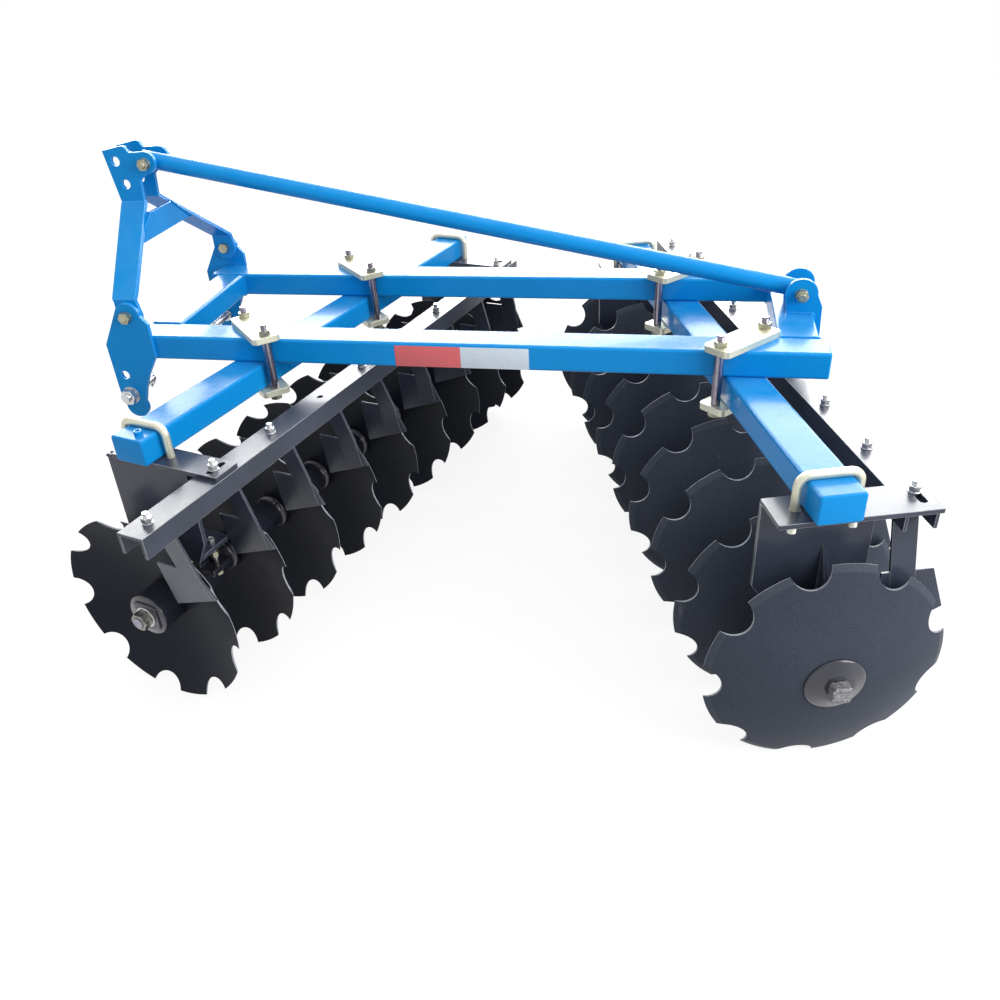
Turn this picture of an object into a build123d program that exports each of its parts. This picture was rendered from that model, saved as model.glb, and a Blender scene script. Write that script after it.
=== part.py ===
from build123d import *
import os
from collections import namedtuple
from math import atan, cos, degrees, hypot, radians, sin, sqrt

# Mounted offset disc harrow, millimetres and degrees.
# X points forward to the tractor, Y to the machine's left, Z up, and the discs stand on Z = 0.
# A gang has its own coordinates: X across the gang, positive to the front, and Y along it, positive to the left.

# Rectangular tube of the main frame and the gang beams
tube_width = 100.0
tube_height = 70.0
tube_corner = 8.0
tube_wall = 6.0
cap_thickness = 6.0

# Main frame
beam_length = 1892.0
beam_spacing = 530.0
frame_above_axle = 549.0
front_cross_width = 90.0
cross_tube_from_end = 69.0

# Hitch plates and lower pins. An outline's points are distances ahead of the ear and heights above the frame.
hitch_thickness = 12.0
ear_from_end = 21.0
ear_height = 62.0
ear_radius = 38.0
hitch_outline = (
    (-38.0, 62.0),
    (-57.0, 39.0),
    (-57.0, -58.0),
    (-24.0, -110.0),
    (-3.0, -153.0),
    (13.0, -202.0),
    (78.0, -229.0),
    (89.0, -169.0),
    (92.0, -24.0),
    (32.0, 82.0),
)
hitch_lobe_ahead = 45.0
hitch_lobe_drop = 217.0
hitch_lobe_radius = 35.0
lower_pin_ahead = 54.0
lower_pin_drop = 181.0
lower_pin_radius = 14.0
lower_pin_reach = 112.0
lower_pin_collar_radius = 22.0
lower_pin_collar = 8.0
lower_pin_thread_radius = 12.0
lower_pin_nut_flats = 42.0
lower_pin_nut = 24.0
lower_pin_thread_past_nut = 12.0
lynch_hole_radius = 5.0
spare_hole_ahead = 57.0
spare_hole_drop = 118.0
spare_hole_radius = 12.5

# Mast and its brace
strap_thickness = 12.0
head_plate_y = 40.0
leg_bend_low = 105.0
leg_bend_high = 303.0
leg_outline = (
    (-38.0, 62.0),
    (-28.0, 116.0),
    (36.0, 312.0),
    (32.0, 365.0),
    (24.0, 372.0),
    (3.0, 384.0),
    (3.0, 444.0),
    (48.0, 442.0),
    (54.0, 448.0),
    (59.0, 458.0),
    (66.0, 461.0),
    (76.0, 459.5),
    (132.0, 449.0),
    (109.0, 299.0),
    (38.0, 100.0),
    (38.0, 62.0),
)
head_top = 461.0
head_ear_ahead = 3.0
head_ear_height = 414.0
head_ear_radius = 30.0
brace_bolt_ahead = 5.0
brace_bolt_height = 411.0
top_link_radius = 13.0
top_link_holes = ((97.0, 419.0), (81.0, 355.0))
mast_plate_ahead = 20.0
mast_plate_low = 209.0
mast_plate_high = 279.0
mast_plate_thickness = 10.0
brace_radius = 24.0
brace_wall = 4.0
brace_overhang = 30.0
bracket_bolt_behind = 14.0
bracket_bolt_height = 52.0
bracket_ear_y = 45.0
bracket_ear_radius = 42.0
bracket_outline = ((33.0, 0.0), (42.0, 52.0), (-28.0, 83.0), (-56.0, 19.0))
bracket_lip = 23.0
bracket_drop = 66.0

# Bolts and clamps
foot_bolt_radius = 10.0
brace_bolt_radius = 10.0
bolt_past_plate = 26.0
head_height = 1.3
head_flats = 3.0
clamp_rod_radius = 10.0
clamp_shank_radius = 12.0
clamp_plate_past_tube = 54.0
clamp_plate_width = 80.0
clamp_plate_thickness = 18.0
clamp_plate_corner = 14.0
clamp_rod_beside_beam = 13.5
clamp_rod_beside_gang = 22.0
clamp_rod_above = 31.0
u_bolt_radius = 10.0
u_bolt_below = 44.0
u_bolt_bend = 24.0
u_bolt_side_gap = 6.0
hole_clearance = 0.5

# Gang frames
cross_plate_thickness = 12.0
cross_plate_corner = 3.0
channel_width = 75.0
channel_depth = 55.0
channel_wall = 8.0
slot_length = 60.0
scraper_bolt_radius = 8.0
scraper_side_gap = 1.0
scraper_thickness = 8.0
scraper_tab = 1.2
blade_thickness = 6.0
blade_top_from_rim = 34.0
blade_lean = 38.0
blade_top_above_axle = 216.0
blade_low_above_axle = 57.0
blade_strap_above_axle = 120.0
blade_outline = ((-103.0, 57.0), (-261.0, 124.0), (-236.0, 216.0), (-117.0, 216.0))
hanger_thickness = 12.0
hanger_front = 120.0
hanger_back = -140.0
hanger_straight = 213.0
hanger_foot_half = 105.0
hanger_foot_depth = 42.0
hanger_foot_above_axle = 115.0
hanger_rib = 10.0
hanger_rib_height = 170.0
hanger_rib_inset = 10.0
hanger_rib_tip = 12.0
bearing_length = 76.0
bearing_radius = 62.0
bearing_neck_half = 56.0
bearing_ear_half = 100.0
bearing_ear_thickness = 20.0
bearing_ear_above_axle = 38.0
bearing_bolt_x = 80.0
bearing_bolt_radius = 8.0

# Discs and what turns with them
disc_count = 9
disc_spacing = 230.0
disc_diameter = 560.0
disc_thickness = 5.0
dish_depth = 65.0
disc_flat_radius = 66.0
notch_count = 9
notch_radius = 47.0
notch_past_rim = 7.0
bevel_width = 14.0
bevel_edge = 1.6
axle_square = 32.0
square_clearance = 0.5
axle_thread_radius = 15.0
axle_head = 44.0
axle_head_thickness = 25.0
bumper_radius = 70.0
bumper_rim = 4.0
bumper_crown_radius = 34.0
bumper_thickness = 17.0
end_spool_inner_radius = 58.0
end_spool_outer_radius = 60.0
end_spool_length = 80.0
square_washer = 80.0
square_washer_corner = 16.0
square_washer_thickness = 6.0
axle_nut_flats = 46.0
axle_nut_thickness = 28.0
axle_thread_past_nut = 3.0
spool_back_radius = 60.0
spool_back_thickness = 16.0
spool_face_radius = 54.0
spool_face_thickness = 12.0
spool_barrel_radius = 44.0
journal_radius = 30.0
running_clearance = 0.05
shoulder_gap = 5.0

# What differs between the gangs. first_rim counts along the gang from the centre line, to the left. The ends of the
# beam and the channel, and the rows of cross plates, count from the rim of the end disc on their side, left then right.
# facing is 1 where the hollow side of the discs looks to the left, and -1 where it looks to the right.
# scraper_bolts are the distances of the bolts from the rims, on the hollow side, from the left disc to the right
# one, and bend_from_bolt leads on to the bend of the strap.
# phases are the turns of the discs' teeth, in degrees, in the same order.
CrossPlate = namedtuple("CrossPlate", "middle half slot u_bolt")
Gang = namedtuple(
    "Gang",
    "name x angle axle_x first_rim facing beam_left beam_right channel_x channel_left channel_right "
    "plate_front plate_back plates hanger_from_bearing scraper_bolts bend_from_bolt clamp_side phases",
)
tooth_pitch = 360.0 / notch_count
low = 17.0
high = low + tooth_pitch / 2
gangs = (
    Gang(
        name="front", x=508.9, angle=-14.5, axle_x=0.0, first_rim=870.0, facing=1,
        beam_left=-70.0, beam_right=40.0, channel_x=-212.0, channel_left=160.0, channel_right=25.0,
        plate_front=92.0, plate_back=-245.0,
        plates=(CrossPlate(-131.0, 40.0, -130.0, -135.0), CrossPlate(104.0, 47.0, 113.0, 95.0)),
        hanger_from_bearing=73.0,
        scraper_bolts=(103.0, 107.0, 117.0, 125.0, 140.0, 140.0, 137.0, 131.0, 125.0), bend_from_bolt=-28.0,
        clamp_side=-1,
        phases=(low, high, low, high, low, high, low, high, low),
    ),
    Gang(
        name="rear", x=-653.8, angle=17.3, axle_x=-36.0, first_rim=851.5, facing=-1,
        beam_left=35.5, beam_right=98.5, channel_x=-201.0, channel_left=-6.5, channel_right=-114.5,
        plate_front=119.0, plate_back=-231.0,
        plates=(CrossPlate(-34.5, 53.0, -39.5, -34.5), CrossPlate(168.5, 53.0, 182.5, 173.5)),
        hanger_from_bearing=-30.0,
        scraper_bolts=(55.5, 38.0, 36.5, 36.5, 38.0, 38.0, 38.0, 38.0, 38.0), bend_from_bolt=22.0,
        clamp_side=1,
        phases=(low, high, low, high, low, high, low, high, low),
    ),
)

# Levels and places worked out from the sizes above
axle_z = disc_diameter / 2
frame_top = axle_z + frame_above_axle
frame_bottom = frame_top - tube_height
gang_bottom = frame_bottom - tube_height
plate_bottom = gang_bottom - cross_plate_thickness
channel_inside = plate_bottom - channel_wall
scraper_width = channel_width - 2 * channel_wall - 2 * scraper_side_gap
clamp_plate_length = tube_width + 2 * clamp_plate_past_tube
notch_circle = disc_diameter / 2 + notch_past_rim
foot_bottom = axle_z + hanger_foot_above_axle
foot_top = foot_bottom + hanger_thickness
front_cross_x = beam_length / 2 - cross_tube_from_end
rear_cross_x = -front_cross_x
ear_x = beam_length / 2 - ear_from_end
lower_pin_x = ear_x + lower_pin_ahead
brace_bolt_x = ear_x + brace_bolt_ahead
bracket_bolt_x = rear_cross_x - bracket_bolt_behind
beam_y = beam_spacing / 2
plate_inner_y = beam_y + tube_width / 2
plate_outer_y = plate_inner_y + hitch_thickness
leg_foot_y = plate_inner_y - strap_thickness / 2

# The dish is a ball surface of this radius, drawn from the plane of the rim
dish_radius = ((disc_diameter / 2) ** 2 + dish_depth**2) / (2 * dish_depth)

parts = {}


def dish(radius, thickness=0.0):
    """How far the dish lies behind the plane of its rim, at a radius."""
    return sqrt((dish_radius + thickness) ** 2 - radius**2) - dish_radius + dish_depth


hub_face = dish(disc_flat_radius)
hub_back = dish(disc_flat_radius, disc_thickness)


def rim_at(gang, index):
    """Place of a disc's rim along its gang."""
    return gang.first_rim - disc_spacing * index


def end_rims(gang):
    """Rims of the left and the right end disc, along the gang."""
    return rim_at(gang, 0), rim_at(gang, disc_count - 1)


def spool_ends(gang, index):
    """Lower and upper end of the spool between a disc and the next one, along the gang."""
    if gang.facing > 0:
        return rim_at(gang, index + 1) - hub_face, rim_at(gang, index) - hub_back
    return rim_at(gang, index + 1) + hub_back, rim_at(gang, index) + hub_face


def bearing_places(gang):
    """Middles of the two bearings, in the spools next to the end discs."""
    return [sum(spool_ends(gang, index)) / 2 for index in (0, disc_count - 2)]


def polygon(*points):
    """Face with straight sides through the points."""
    return make_face(Polyline(*points, close=True))


def spot(x, y, radius):
    """Round face at a place in the sketch."""
    return Pos(x, y) * Circle(radius)


def bar(radius, start, end, x=0.0, z=0.0):
    """Round bar along Y."""
    return Pos(x, (start + end) / 2, z) * Rot(90, 0, 0) * Cylinder(radius, end - start)


def post(radius, low_z, high_z, x=0.0, y=0.0):
    """Round bar along Z."""
    return Pos(x, y, (low_z + high_z) / 2) * Cylinder(radius, high_z - low_z)


def hexagon(flats):
    """Hexagonal face, by its width across the flats."""
    return RegularPolygon(flats / 2, 6, major_radius=False)


def plate_xz(outline, y, thickness):
    """Plate with its outline in X and Z, centred at y."""
    plane = Plane(origin=(0, y, 0), x_dir=(1, 0, 0), z_dir=(0, -1, 0))
    return extrude(plane * outline, thickness / 2, both=True)


def plate_yz(outline, x, thickness):
    """Plate with its outline in Y and Z, centred at x."""
    plane = Plane(origin=(x, 0, 0), x_dir=(0, 1, 0), z_dir=(1, 0, 0))
    return extrude(plane * outline, thickness / 2, both=True)


def plate_xy(outline, bottom, thickness):
    """Plate with its outline in X and Y, lying on the level bottom."""
    return extrude(Pos(0, 0, bottom) * outline, thickness)


def bent_strip(points, thickness):
    """Outline of a strip of even thickness that bends at the points."""
    half = thickness / 2
    left, right = [], []
    for index, (a, b) in enumerate(points):
        ways = []
        if index > 0:
            ways.append((a - points[index - 1][0], b - points[index - 1][1]))
        if index < len(points) - 1:
            ways.append((points[index + 1][0] - a, points[index + 1][1] - b))
        units = [(u / hypot(u, v), v / hypot(u, v)) for u, v in ways]
        u = sum(unit[0] for unit in units)
        v = sum(unit[1] for unit in units)
        length = hypot(u, v)
        u, v = u / length, v / length
        reach = half / (u * units[0][0] + v * units[0][1])
        left.append((a - v * reach, b + u * reach))
        right.append((a + v * reach, b - u * reach))
    return polygon(*left, *reversed(right))


def tube(length, width):
    """Rectangular tube along X, centred."""
    outer = RectangleRounded(width, tube_height, tube_corner)
    inner = RectangleRounded(width - 2 * tube_wall, tube_height - 2 * tube_wall, tube_corner - tube_wall)
    return plate_yz(outer - inner, 0, length)


def tube_cap():
    """Plate that closes the end of a tube, its inner face at X = 0."""
    cap = plate_yz(RectangleRounded(tube_width, tube_height, tube_corner), cap_thickness / 2, cap_thickness)
    return chamfer(cap.edges().group_by(Axis.X)[-1], cap_thickness / 3)


def bolt(radius, start, end, x, z):
    """Bolt along Y with its hexagonal head before the start, which may be the higher end."""
    way = 1 if end > start else -1
    head = head_height * radius
    shank = bar(radius, min(start, end), max(start, end), x, z)
    return shank + plate_xz(Pos(x, z) * hexagon(head_flats * radius), start - way * head / 2, head)


def mirrored(solid):
    """The same piece on the other side of the machine."""
    return mirror(solid, Plane.XZ)


def placed(gang, solid):
    """A piece drawn in a gang's coordinates, put in the machine."""
    return Pos(gang.x, 0, 0) * Rot(0, 0, gang.angle) * solid


def frame_beams():
    """Two long beams and the two cross tubes between them."""
    z = frame_top - tube_height / 2
    long_beam = Pos(0, beam_y, z) * tube(beam_length - 2 * cap_thickness, tube_width)
    between = beam_spacing - tube_width
    parts["left_frame_beam"] = [long_beam]
    parts["right_frame_beam"] = [mirrored(long_beam)]
    parts["front_cross_tube"] = [Pos(front_cross_x, 0, z) * Rot(0, 0, 90) * tube(between, front_cross_width)]
    parts["rear_cross_tube"] = [Pos(rear_cross_x, 0, z) * Rot(0, 0, 90) * tube(between, tube_width)]


def end_caps():
    """Caps on the ends of the long beams and of the gang beams."""
    caps = []
    for end in (1, -1):
        turn = Rot(0, 0, 0 if end > 0 else 180)
        for side in (1, -1):
            x = end * (beam_length / 2 - cap_thickness)
            caps.append(Pos(x, side * beam_y, frame_top - tube_height / 2) * turn * tube_cap())
    for gang in gangs:
        left_rim, right_rim = end_rims(gang)
        left_end, right_end = left_rim + gang.beam_left, right_rim + gang.beam_right
        for y, turn in ((left_end - cap_thickness, 90), (right_end + cap_thickness, -90)):
            cap = Pos(0, y, frame_bottom - tube_height / 2) * Rot(0, 0, turn) * tube_cap()
            caps.append(placed(gang, cap))
    parts["tube_end_caps"] = caps


def hitch():
    """Side plates that carry the lower pins, and the pins."""
    ear_z = frame_top + ear_height
    pin_z = frame_top - lower_pin_drop
    outline = polygon(*[(ear_x + ahead, frame_top + height) for ahead, height in hitch_outline])
    outline += spot(ear_x, ear_z, ear_radius)
    outline += spot(ear_x + hitch_lobe_ahead, frame_top - hitch_lobe_drop, hitch_lobe_radius)
    outline -= spot(ear_x, ear_z, foot_bolt_radius + hole_clearance)
    outline -= spot(lower_pin_x, pin_z, lower_pin_thread_radius + hole_clearance)
    outline -= spot(ear_x + spare_hole_ahead, frame_top - spare_hole_drop, spare_hole_radius)
    plate = plate_xz(outline, (plate_inner_y + plate_outer_y) / 2, hitch_thickness)

    # the pin's collar stands on the inside of the plate and its nut on the outside
    free_end = plate_inner_y - lower_pin_reach
    collar_face = plate_inner_y - lower_pin_collar
    nut_end = plate_outer_y + lower_pin_nut
    pin = bar(lower_pin_radius, free_end, collar_face, lower_pin_x, pin_z)
    pin = chamfer(pin.edges().sort_by(Axis.Y)[0], 3)
    pin += bar(lower_pin_collar_radius, collar_face, plate_inner_y, lower_pin_x, pin_z)
    pin += bar(lower_pin_thread_radius, plate_inner_y, nut_end + lower_pin_thread_past_nut, lower_pin_x, pin_z)
    nut_face = Pos(lower_pin_x, pin_z) * hexagon(lower_pin_nut_flats)
    pin += plate_xz(nut_face, (plate_outer_y + nut_end) / 2, lower_pin_nut)
    pin -= post(lynch_hole_radius, pin_z - 30, pin_z + 30, lower_pin_x, free_end + 15)

    for side, make in (("left", lambda solid: solid), ("right", mirrored)):
        parts[side + "_hitch_plate"] = [make(plate)]
        parts[side + "_hitch_pin"] = [make(pin)]


def mast():
    """Two bent legs with the head plates, and the plate between them."""
    bends = (
        (leg_foot_y, frame_top + ear_height - ear_radius),
        (leg_foot_y, frame_top + leg_bend_low),
        (head_plate_y, frame_top + leg_bend_high),
        (head_plate_y, frame_top + head_top),
    )
    folded = plate_yz(bent_strip(bends, strap_thickness), ear_x, 600)
    ear_z = frame_top + ear_height
    brace_z = frame_top + brace_bolt_height
    side = polygon(*[(ear_x + ahead, frame_top + height) for ahead, height in leg_outline])
    side += spot(ear_x, ear_z, ear_radius)
    side += spot(ear_x + head_ear_ahead, frame_top + head_ear_height, head_ear_radius)
    side -= spot(ear_x, ear_z, foot_bolt_radius + hole_clearance)
    side -= spot(brace_bolt_x, brace_z, brace_bolt_radius + hole_clearance)
    for ahead, height in top_link_holes:
        side -= spot(ear_x + ahead, frame_top + height, top_link_radius)
    leg = folded & plate_xz(side, plate_inner_y / 2, plate_inner_y + 60)

    lean = (leg_foot_y - head_plate_y) / (leg_bend_high - leg_bend_low)
    inset = strap_thickness / 2 * hypot(1, lean)

    def leg_inside(height):
        return head_plate_y + lean * (leg_bend_high - height) - inset

    low_half, high_half = leg_inside(mast_plate_low), leg_inside(mast_plate_high)
    low_z, high_z = frame_top + mast_plate_low, frame_top + mast_plate_high
    between = polygon((-low_half, low_z), (low_half, low_z), (high_half, high_z), (-high_half, high_z))
    parts["left_mast_leg"] = [leg]
    parts["right_mast_leg"] = [mirrored(leg)]
    parts["mast_cross_plate"] = [plate_yz(between, ear_x + mast_plate_ahead, mast_plate_thickness)]

    foot_bolt = bolt(foot_bolt_radius, plate_inner_y - strap_thickness, plate_outer_y + bolt_past_plate, ear_x, ear_z)
    parts["mast_foot_bolts"] = [foot_bolt, mirrored(foot_bolt)]


def brace():
    """Sloping pipe from the mast head to the rear bracket, with its two bolts."""
    rise = brace_bolt_height - bracket_bolt_height
    run = brace_bolt_x - bracket_bolt_x
    length = hypot(rise, run) + 2 * brace_overhang
    middle = ((brace_bolt_x + bracket_bolt_x) / 2, 0, frame_top + (brace_bolt_height + bracket_bolt_height) / 2)
    pipe = Cylinder(brace_radius, length) - Cylinder(brace_radius - brace_wall, length)
    pipe = Pos(*middle) * Rot(0, 90 - degrees(atan(rise / run)), 0) * pipe
    bolts = []
    for x, height, half in (
        (brace_bolt_x, brace_bolt_height, head_plate_y + strap_thickness / 2),
        (bracket_bolt_x, bracket_bolt_height, bracket_ear_y + strap_thickness / 2),
    ):
        z = frame_top + height
        pipe -= bar(brace_bolt_radius + hole_clearance, -brace_radius, brace_radius, x, z)
        bolts.append(bolt(brace_bolt_radius, -half, half + bolt_past_plate, x, z))
    parts["brace_pipe"] = [pipe]
    parts["brace_bolts"] = bolts

    back = rear_cross_x - tube_width / 2
    bolt_z = frame_top + bracket_bolt_height
    ear = polygon(
        *[(bracket_bolt_x + ahead, frame_top + height) for ahead, height in bracket_outline],
        (back - bracket_lip, frame_top - bracket_drop),
        (back, frame_top - bracket_drop),
        (back, frame_top),
    )
    ear += spot(bracket_bolt_x, bolt_z, bracket_ear_radius)
    ear -= spot(bracket_bolt_x, bolt_z, brace_bolt_radius + hole_clearance)
    ear_plate = plate_xz(ear, bracket_ear_y, strap_thickness)
    parts["brace_bracket"] = [ear_plate, mirrored(ear_plate)]


def clamp_rod_places(gang, beam):
    """The two rods of the clamp where a gang beam crosses a long beam."""
    turn = radians(gang.angle)
    centre = gang.x - beam * sin(turn) / cos(turn)
    beside_beam = tube_width / 2 + clamp_rod_beside_beam
    beside_gang = tube_width / 2 + clamp_rod_beside_gang
    places = []
    for side in (1, -1):
        across = side * gang.clamp_side * beside_gang
        along = (across - side * beside_beam * sin(turn)) / cos(turn)
        places.append((centre + along, beam + side * beside_beam))
    return places


def clamps():
    """Plates above and below each crossing, drawn together by two rods."""
    plates, rods = [], []
    for gang in gangs:
        for beam in (beam_y, -beam_y):
            (x1, y1), (x2, y2) = clamp_rod_places(gang, beam)
            turn = degrees(atan((y2 - y1) / (x2 - x1)))
            outline = RectangleRounded(clamp_plate_length, clamp_plate_width, clamp_plate_corner)
            outline = Pos((x1 + x2) / 2, (y1 + y2) / 2) * Rot(0, 0, turn) * outline
            for x, y in ((x1, y1), (x2, y2)):
                outline -= spot(x, y, clamp_rod_radius + hole_clearance)
                under = gang_bottom - clamp_plate_thickness
                above = frame_top + clamp_plate_thickness + clamp_rod_above
                rod = post(clamp_rod_radius, under, above, x, y)
                rod += post(clamp_shank_radius, gang_bottom, frame_top, x, y)
                head = head_height * clamp_rod_radius
                rod += plate_xy(Pos(x, y) * hexagon(head_flats * clamp_rod_radius), under - head, head)
                rods.append(rod)
            plates.append(plate_xy(outline, frame_top, clamp_plate_thickness))
            plates.append(plate_xy(outline, gang_bottom - clamp_plate_thickness, clamp_plate_thickness))
    parts["clamp_plates"] = plates
    parts["clamp_bolts"] = rods


def gang_beam(gang):
    """Tube that carries a gang."""
    left_rim, right_rim = end_rims(gang)
    left_end, right_end = left_rim + gang.beam_left, right_rim + gang.beam_right
    length = left_end - right_end - 2 * cap_thickness
    middle = (left_end + right_end) / 2
    beam = Pos(0, middle, frame_bottom - tube_height / 2) * Rot(0, 0, 90) * tube(length, tube_width)
    parts[gang.name + "_gang_beam"] = [placed(gang, beam)]


def u_bolt_x():
    """Distance of a U-bolt's legs from the middle of the gang beam."""
    return tube_width / 2 + u_bolt_radius + u_bolt_side_gap


def u_bolts():
    """Round bars bent over the gang beams, through the cross plates."""
    bolts = []
    leg = u_bolt_x()
    top = frame_bottom + u_bolt_radius
    bottom = plate_bottom - u_bolt_below
    for gang in gangs:
        for y in [rim + row.u_bolt for rim, row in zip(end_rims(gang), gang.plates)]:
            plane = Plane(origin=(0, y, 0), x_dir=(1, 0, 0), z_dir=(0, -1, 0))
            path = FilletPolyline((-leg, bottom), (-leg, top), (leg, top), (leg, bottom), radius=u_bolt_bend)
            start = Plane(origin=(-leg, y, bottom), z_dir=(0, 0, 1))
            bolts.append(placed(gang, sweep(start * Circle(u_bolt_radius), plane * path)))
    parts["u_bolts"] = bolts


def cross_plates(gang):
    """Plates under the gang beam that reach back over the scraper channel."""
    plates = []
    length = gang.plate_front - gang.plate_back
    slot_width = 2 * (scraper_bolt_radius + hole_clearance)
    for rim, row in zip(end_rims(gang), gang.plates):
        outline = RectangleRounded(length, 2 * row.half, cross_plate_corner)
        outline = Pos((gang.plate_front + gang.plate_back) / 2, rim + row.middle) * outline
        for side in (1, -1):
            outline -= spot(side * u_bolt_x(), rim + row.u_bolt, u_bolt_radius + hole_clearance)
        slot = Pos(gang.channel_x, rim + row.slot) * Rot(0, 0, 90) * SlotOverall(slot_length, slot_width)
        plates.append(placed(gang, plate_xy(outline - slot, plate_bottom, cross_plate_thickness)))
    parts[gang.name + "_cross_plates"] = plates


def scraper_bolt_place(gang, index):
    """Place of a scraper's bolt along the gang."""
    return rim_at(gang, index) + gang.facing * gang.scraper_bolts[index]


def scraper_channel(gang):
    """Channel, open below, that the scrapers hang from."""
    x = gang.channel_x
    outline = Pos(x, plate_bottom - channel_depth / 2) * Rectangle(channel_width, channel_depth)
    inside = channel_width - 2 * channel_wall
    outline -= Pos(x, channel_inside - channel_depth / 2) * Rectangle(inside, channel_depth)
    left_rim, right_rim = end_rims(gang)
    left_end, right_end = left_rim + gang.channel_left, right_rim + gang.channel_right
    channel = plate_xz(outline, (left_end + right_end) / 2, left_end - right_end)
    for index in range(disc_count):
        hole_y = scraper_bolt_place(gang, index)
        channel -= post(scraper_bolt_radius + hole_clearance, channel_inside - 5, plate_bottom + 5, x, hole_y)
    parts[gang.name + "_scraper_channel"] = [placed(gang, channel)]


def scrapers(gang):
    """Bent straps, each with a blade that leans into the hollow of its disc."""
    blade_top = axle_z + blade_top_above_axle
    blade_low = axle_z + blade_low_above_axle
    strap_low = axle_z + blade_strap_above_axle
    lean = blade_lean / (blade_top - blade_low)
    tab_z = channel_inside - scraper_thickness / 2
    solids = []
    for index, from_rim in enumerate(gang.scraper_bolts):
        rim, facing = rim_at(gang, index), gang.facing
        bolt_y = scraper_bolt_place(gang, index)

        def along(distance):
            return rim + facing * distance

        def blade_at(z):
            return along(blade_top_from_rim - lean * (blade_top - z))

        bends = (
            (along(from_rim - scraper_tab * gang.bend_from_bolt), tab_z),
            (along(from_rim + gang.bend_from_bolt), tab_z),
            (blade_at(blade_top), blade_top),
            (blade_at(strap_low), strap_low),
        )
        strap = plate_yz(bent_strip(bends, scraper_thickness), gang.channel_x, scraper_width)
        strap -= post(scraper_bolt_radius + hole_clearance, tab_z - 10, tab_z + 10, gang.channel_x, bolt_y)
        leaning = bent_strip(((blade_at(blade_top), blade_top), (blade_at(blade_low), blade_low)), blade_thickness)
        blade = plate_yz(leaning, gang.axle_x, disc_diameter)
        outline = polygon(*[(gang.axle_x + x, axle_z + height) for x, height in blade_outline])
        blade &= plate_xz(outline, rim, disc_diameter)
        solids.append(placed(gang, strap + blade))
    parts[gang.name + "_scrapers"] = solids


def hangers(gang):
    """Welded plates below the cross plates, each with a foot that the bearing bolts to."""
    solids = []
    for bearing in bearing_places(gang):
        way = 1 if gang.hanger_from_bearing > 0 else -1
        plate_y = bearing + gang.hanger_from_bearing
        straight = plate_bottom - hanger_straight
        outline = polygon(
            (hanger_back, plate_bottom),
            (hanger_front, plate_bottom),
            (hanger_front, straight),
            (gang.axle_x + hanger_foot_half, foot_bottom),
            (gang.axle_x - hanger_foot_half, foot_bottom),
            (hanger_back, straight),
        )
        plate = plate_xz(outline, plate_y, hanger_thickness)
        foot_end = bearing - way * hanger_foot_depth
        foot_length = abs(plate_y - foot_end)
        foot = Rectangle(2 * hanger_foot_half, foot_length)
        foot = plate_xy(Pos(gang.axle_x, (plate_y + foot_end) / 2) * foot, foot_bottom, hanger_thickness)
        for side in (1, -1):
            foot -= post(
                bearing_bolt_radius + hole_clearance,
                foot_bottom - 5,
                foot_top + 5,
                gang.axle_x + side * bearing_bolt_x,
                bearing,
            )
        rib = polygon(
            (plate_y, foot_top),
            (plate_y, foot_top + hanger_rib_height),
            (foot_end + way * hanger_rib_inset, foot_top + hanger_rib_tip),
            (foot_end + way * hanger_rib_inset, foot_top),
        )
        solids.append(placed(gang, plate + foot + plate_yz(rib, gang.axle_x, hanger_rib)))
    parts[gang.name + "_hangers"] = solids


def bearings(gang):
    """Bearing housings under the hanger feet."""
    solids = []
    ear_top = axle_z + bearing_ear_above_axle + bearing_ear_thickness
    ear_bottom = axle_z + bearing_ear_above_axle
    reach = bearing_length
    for bearing in bearing_places(gang):
        outline = spot(gang.axle_x, axle_z, bearing_radius)
        neck_height = foot_bottom - axle_z
        outline += Pos(gang.axle_x, axle_z + neck_height / 2) * Rectangle(2 * bearing_neck_half, neck_height)
        ears = Rectangle(2 * bearing_ear_half, bearing_ear_thickness)
        outline += Pos(gang.axle_x, (ear_top + ear_bottom) / 2) * ears
        housing = plate_xz(outline, bearing, bearing_length)
        housing -= bar(journal_radius + running_clearance, bearing - reach, bearing + reach, gang.axle_x, axle_z)
        for side in (1, -1):
            x = gang.axle_x + side * bearing_bolt_x
            housing -= post(bearing_bolt_radius + hole_clearance, ear_bottom - 5, ear_top + 5, x, bearing)
        solids.append(placed(gang, housing))
    parts[gang.name + "_bearings"] = solids


def bearing_bolts():
    """Upright bolts that hold the bearing housings to the hanger feet."""
    solids = []
    head = head_height * bearing_bolt_radius
    low_end = axle_z + bearing_ear_above_axle - 20
    for gang in gangs:
        for bearing in bearing_places(gang):
            for side in (1, -1):
                x = gang.axle_x + side * bearing_bolt_x
                shank = post(bearing_bolt_radius, low_end, foot_top, x, bearing)
                shank += plate_xy(Pos(x, bearing) * hexagon(head_flats * bearing_bolt_radius), foot_top, head)
                solids.append(placed(gang, shank))
    parts["bearing_bolts"] = solids


def turned(gang, outline):
    """A body of revolution about the gang's axle, from its radii and places along the gang."""
    return Pos(gang.axle_x, 0, axle_z) * revolve(outline, Axis.Y)


def square_hole(gang, start, end):
    """Square hole along the axle."""
    side = axle_square + 2 * square_clearance
    return Pos(gang.axle_x, (start + end) / 2, axle_z) * Box(side, abs(end - start), side)


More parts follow.
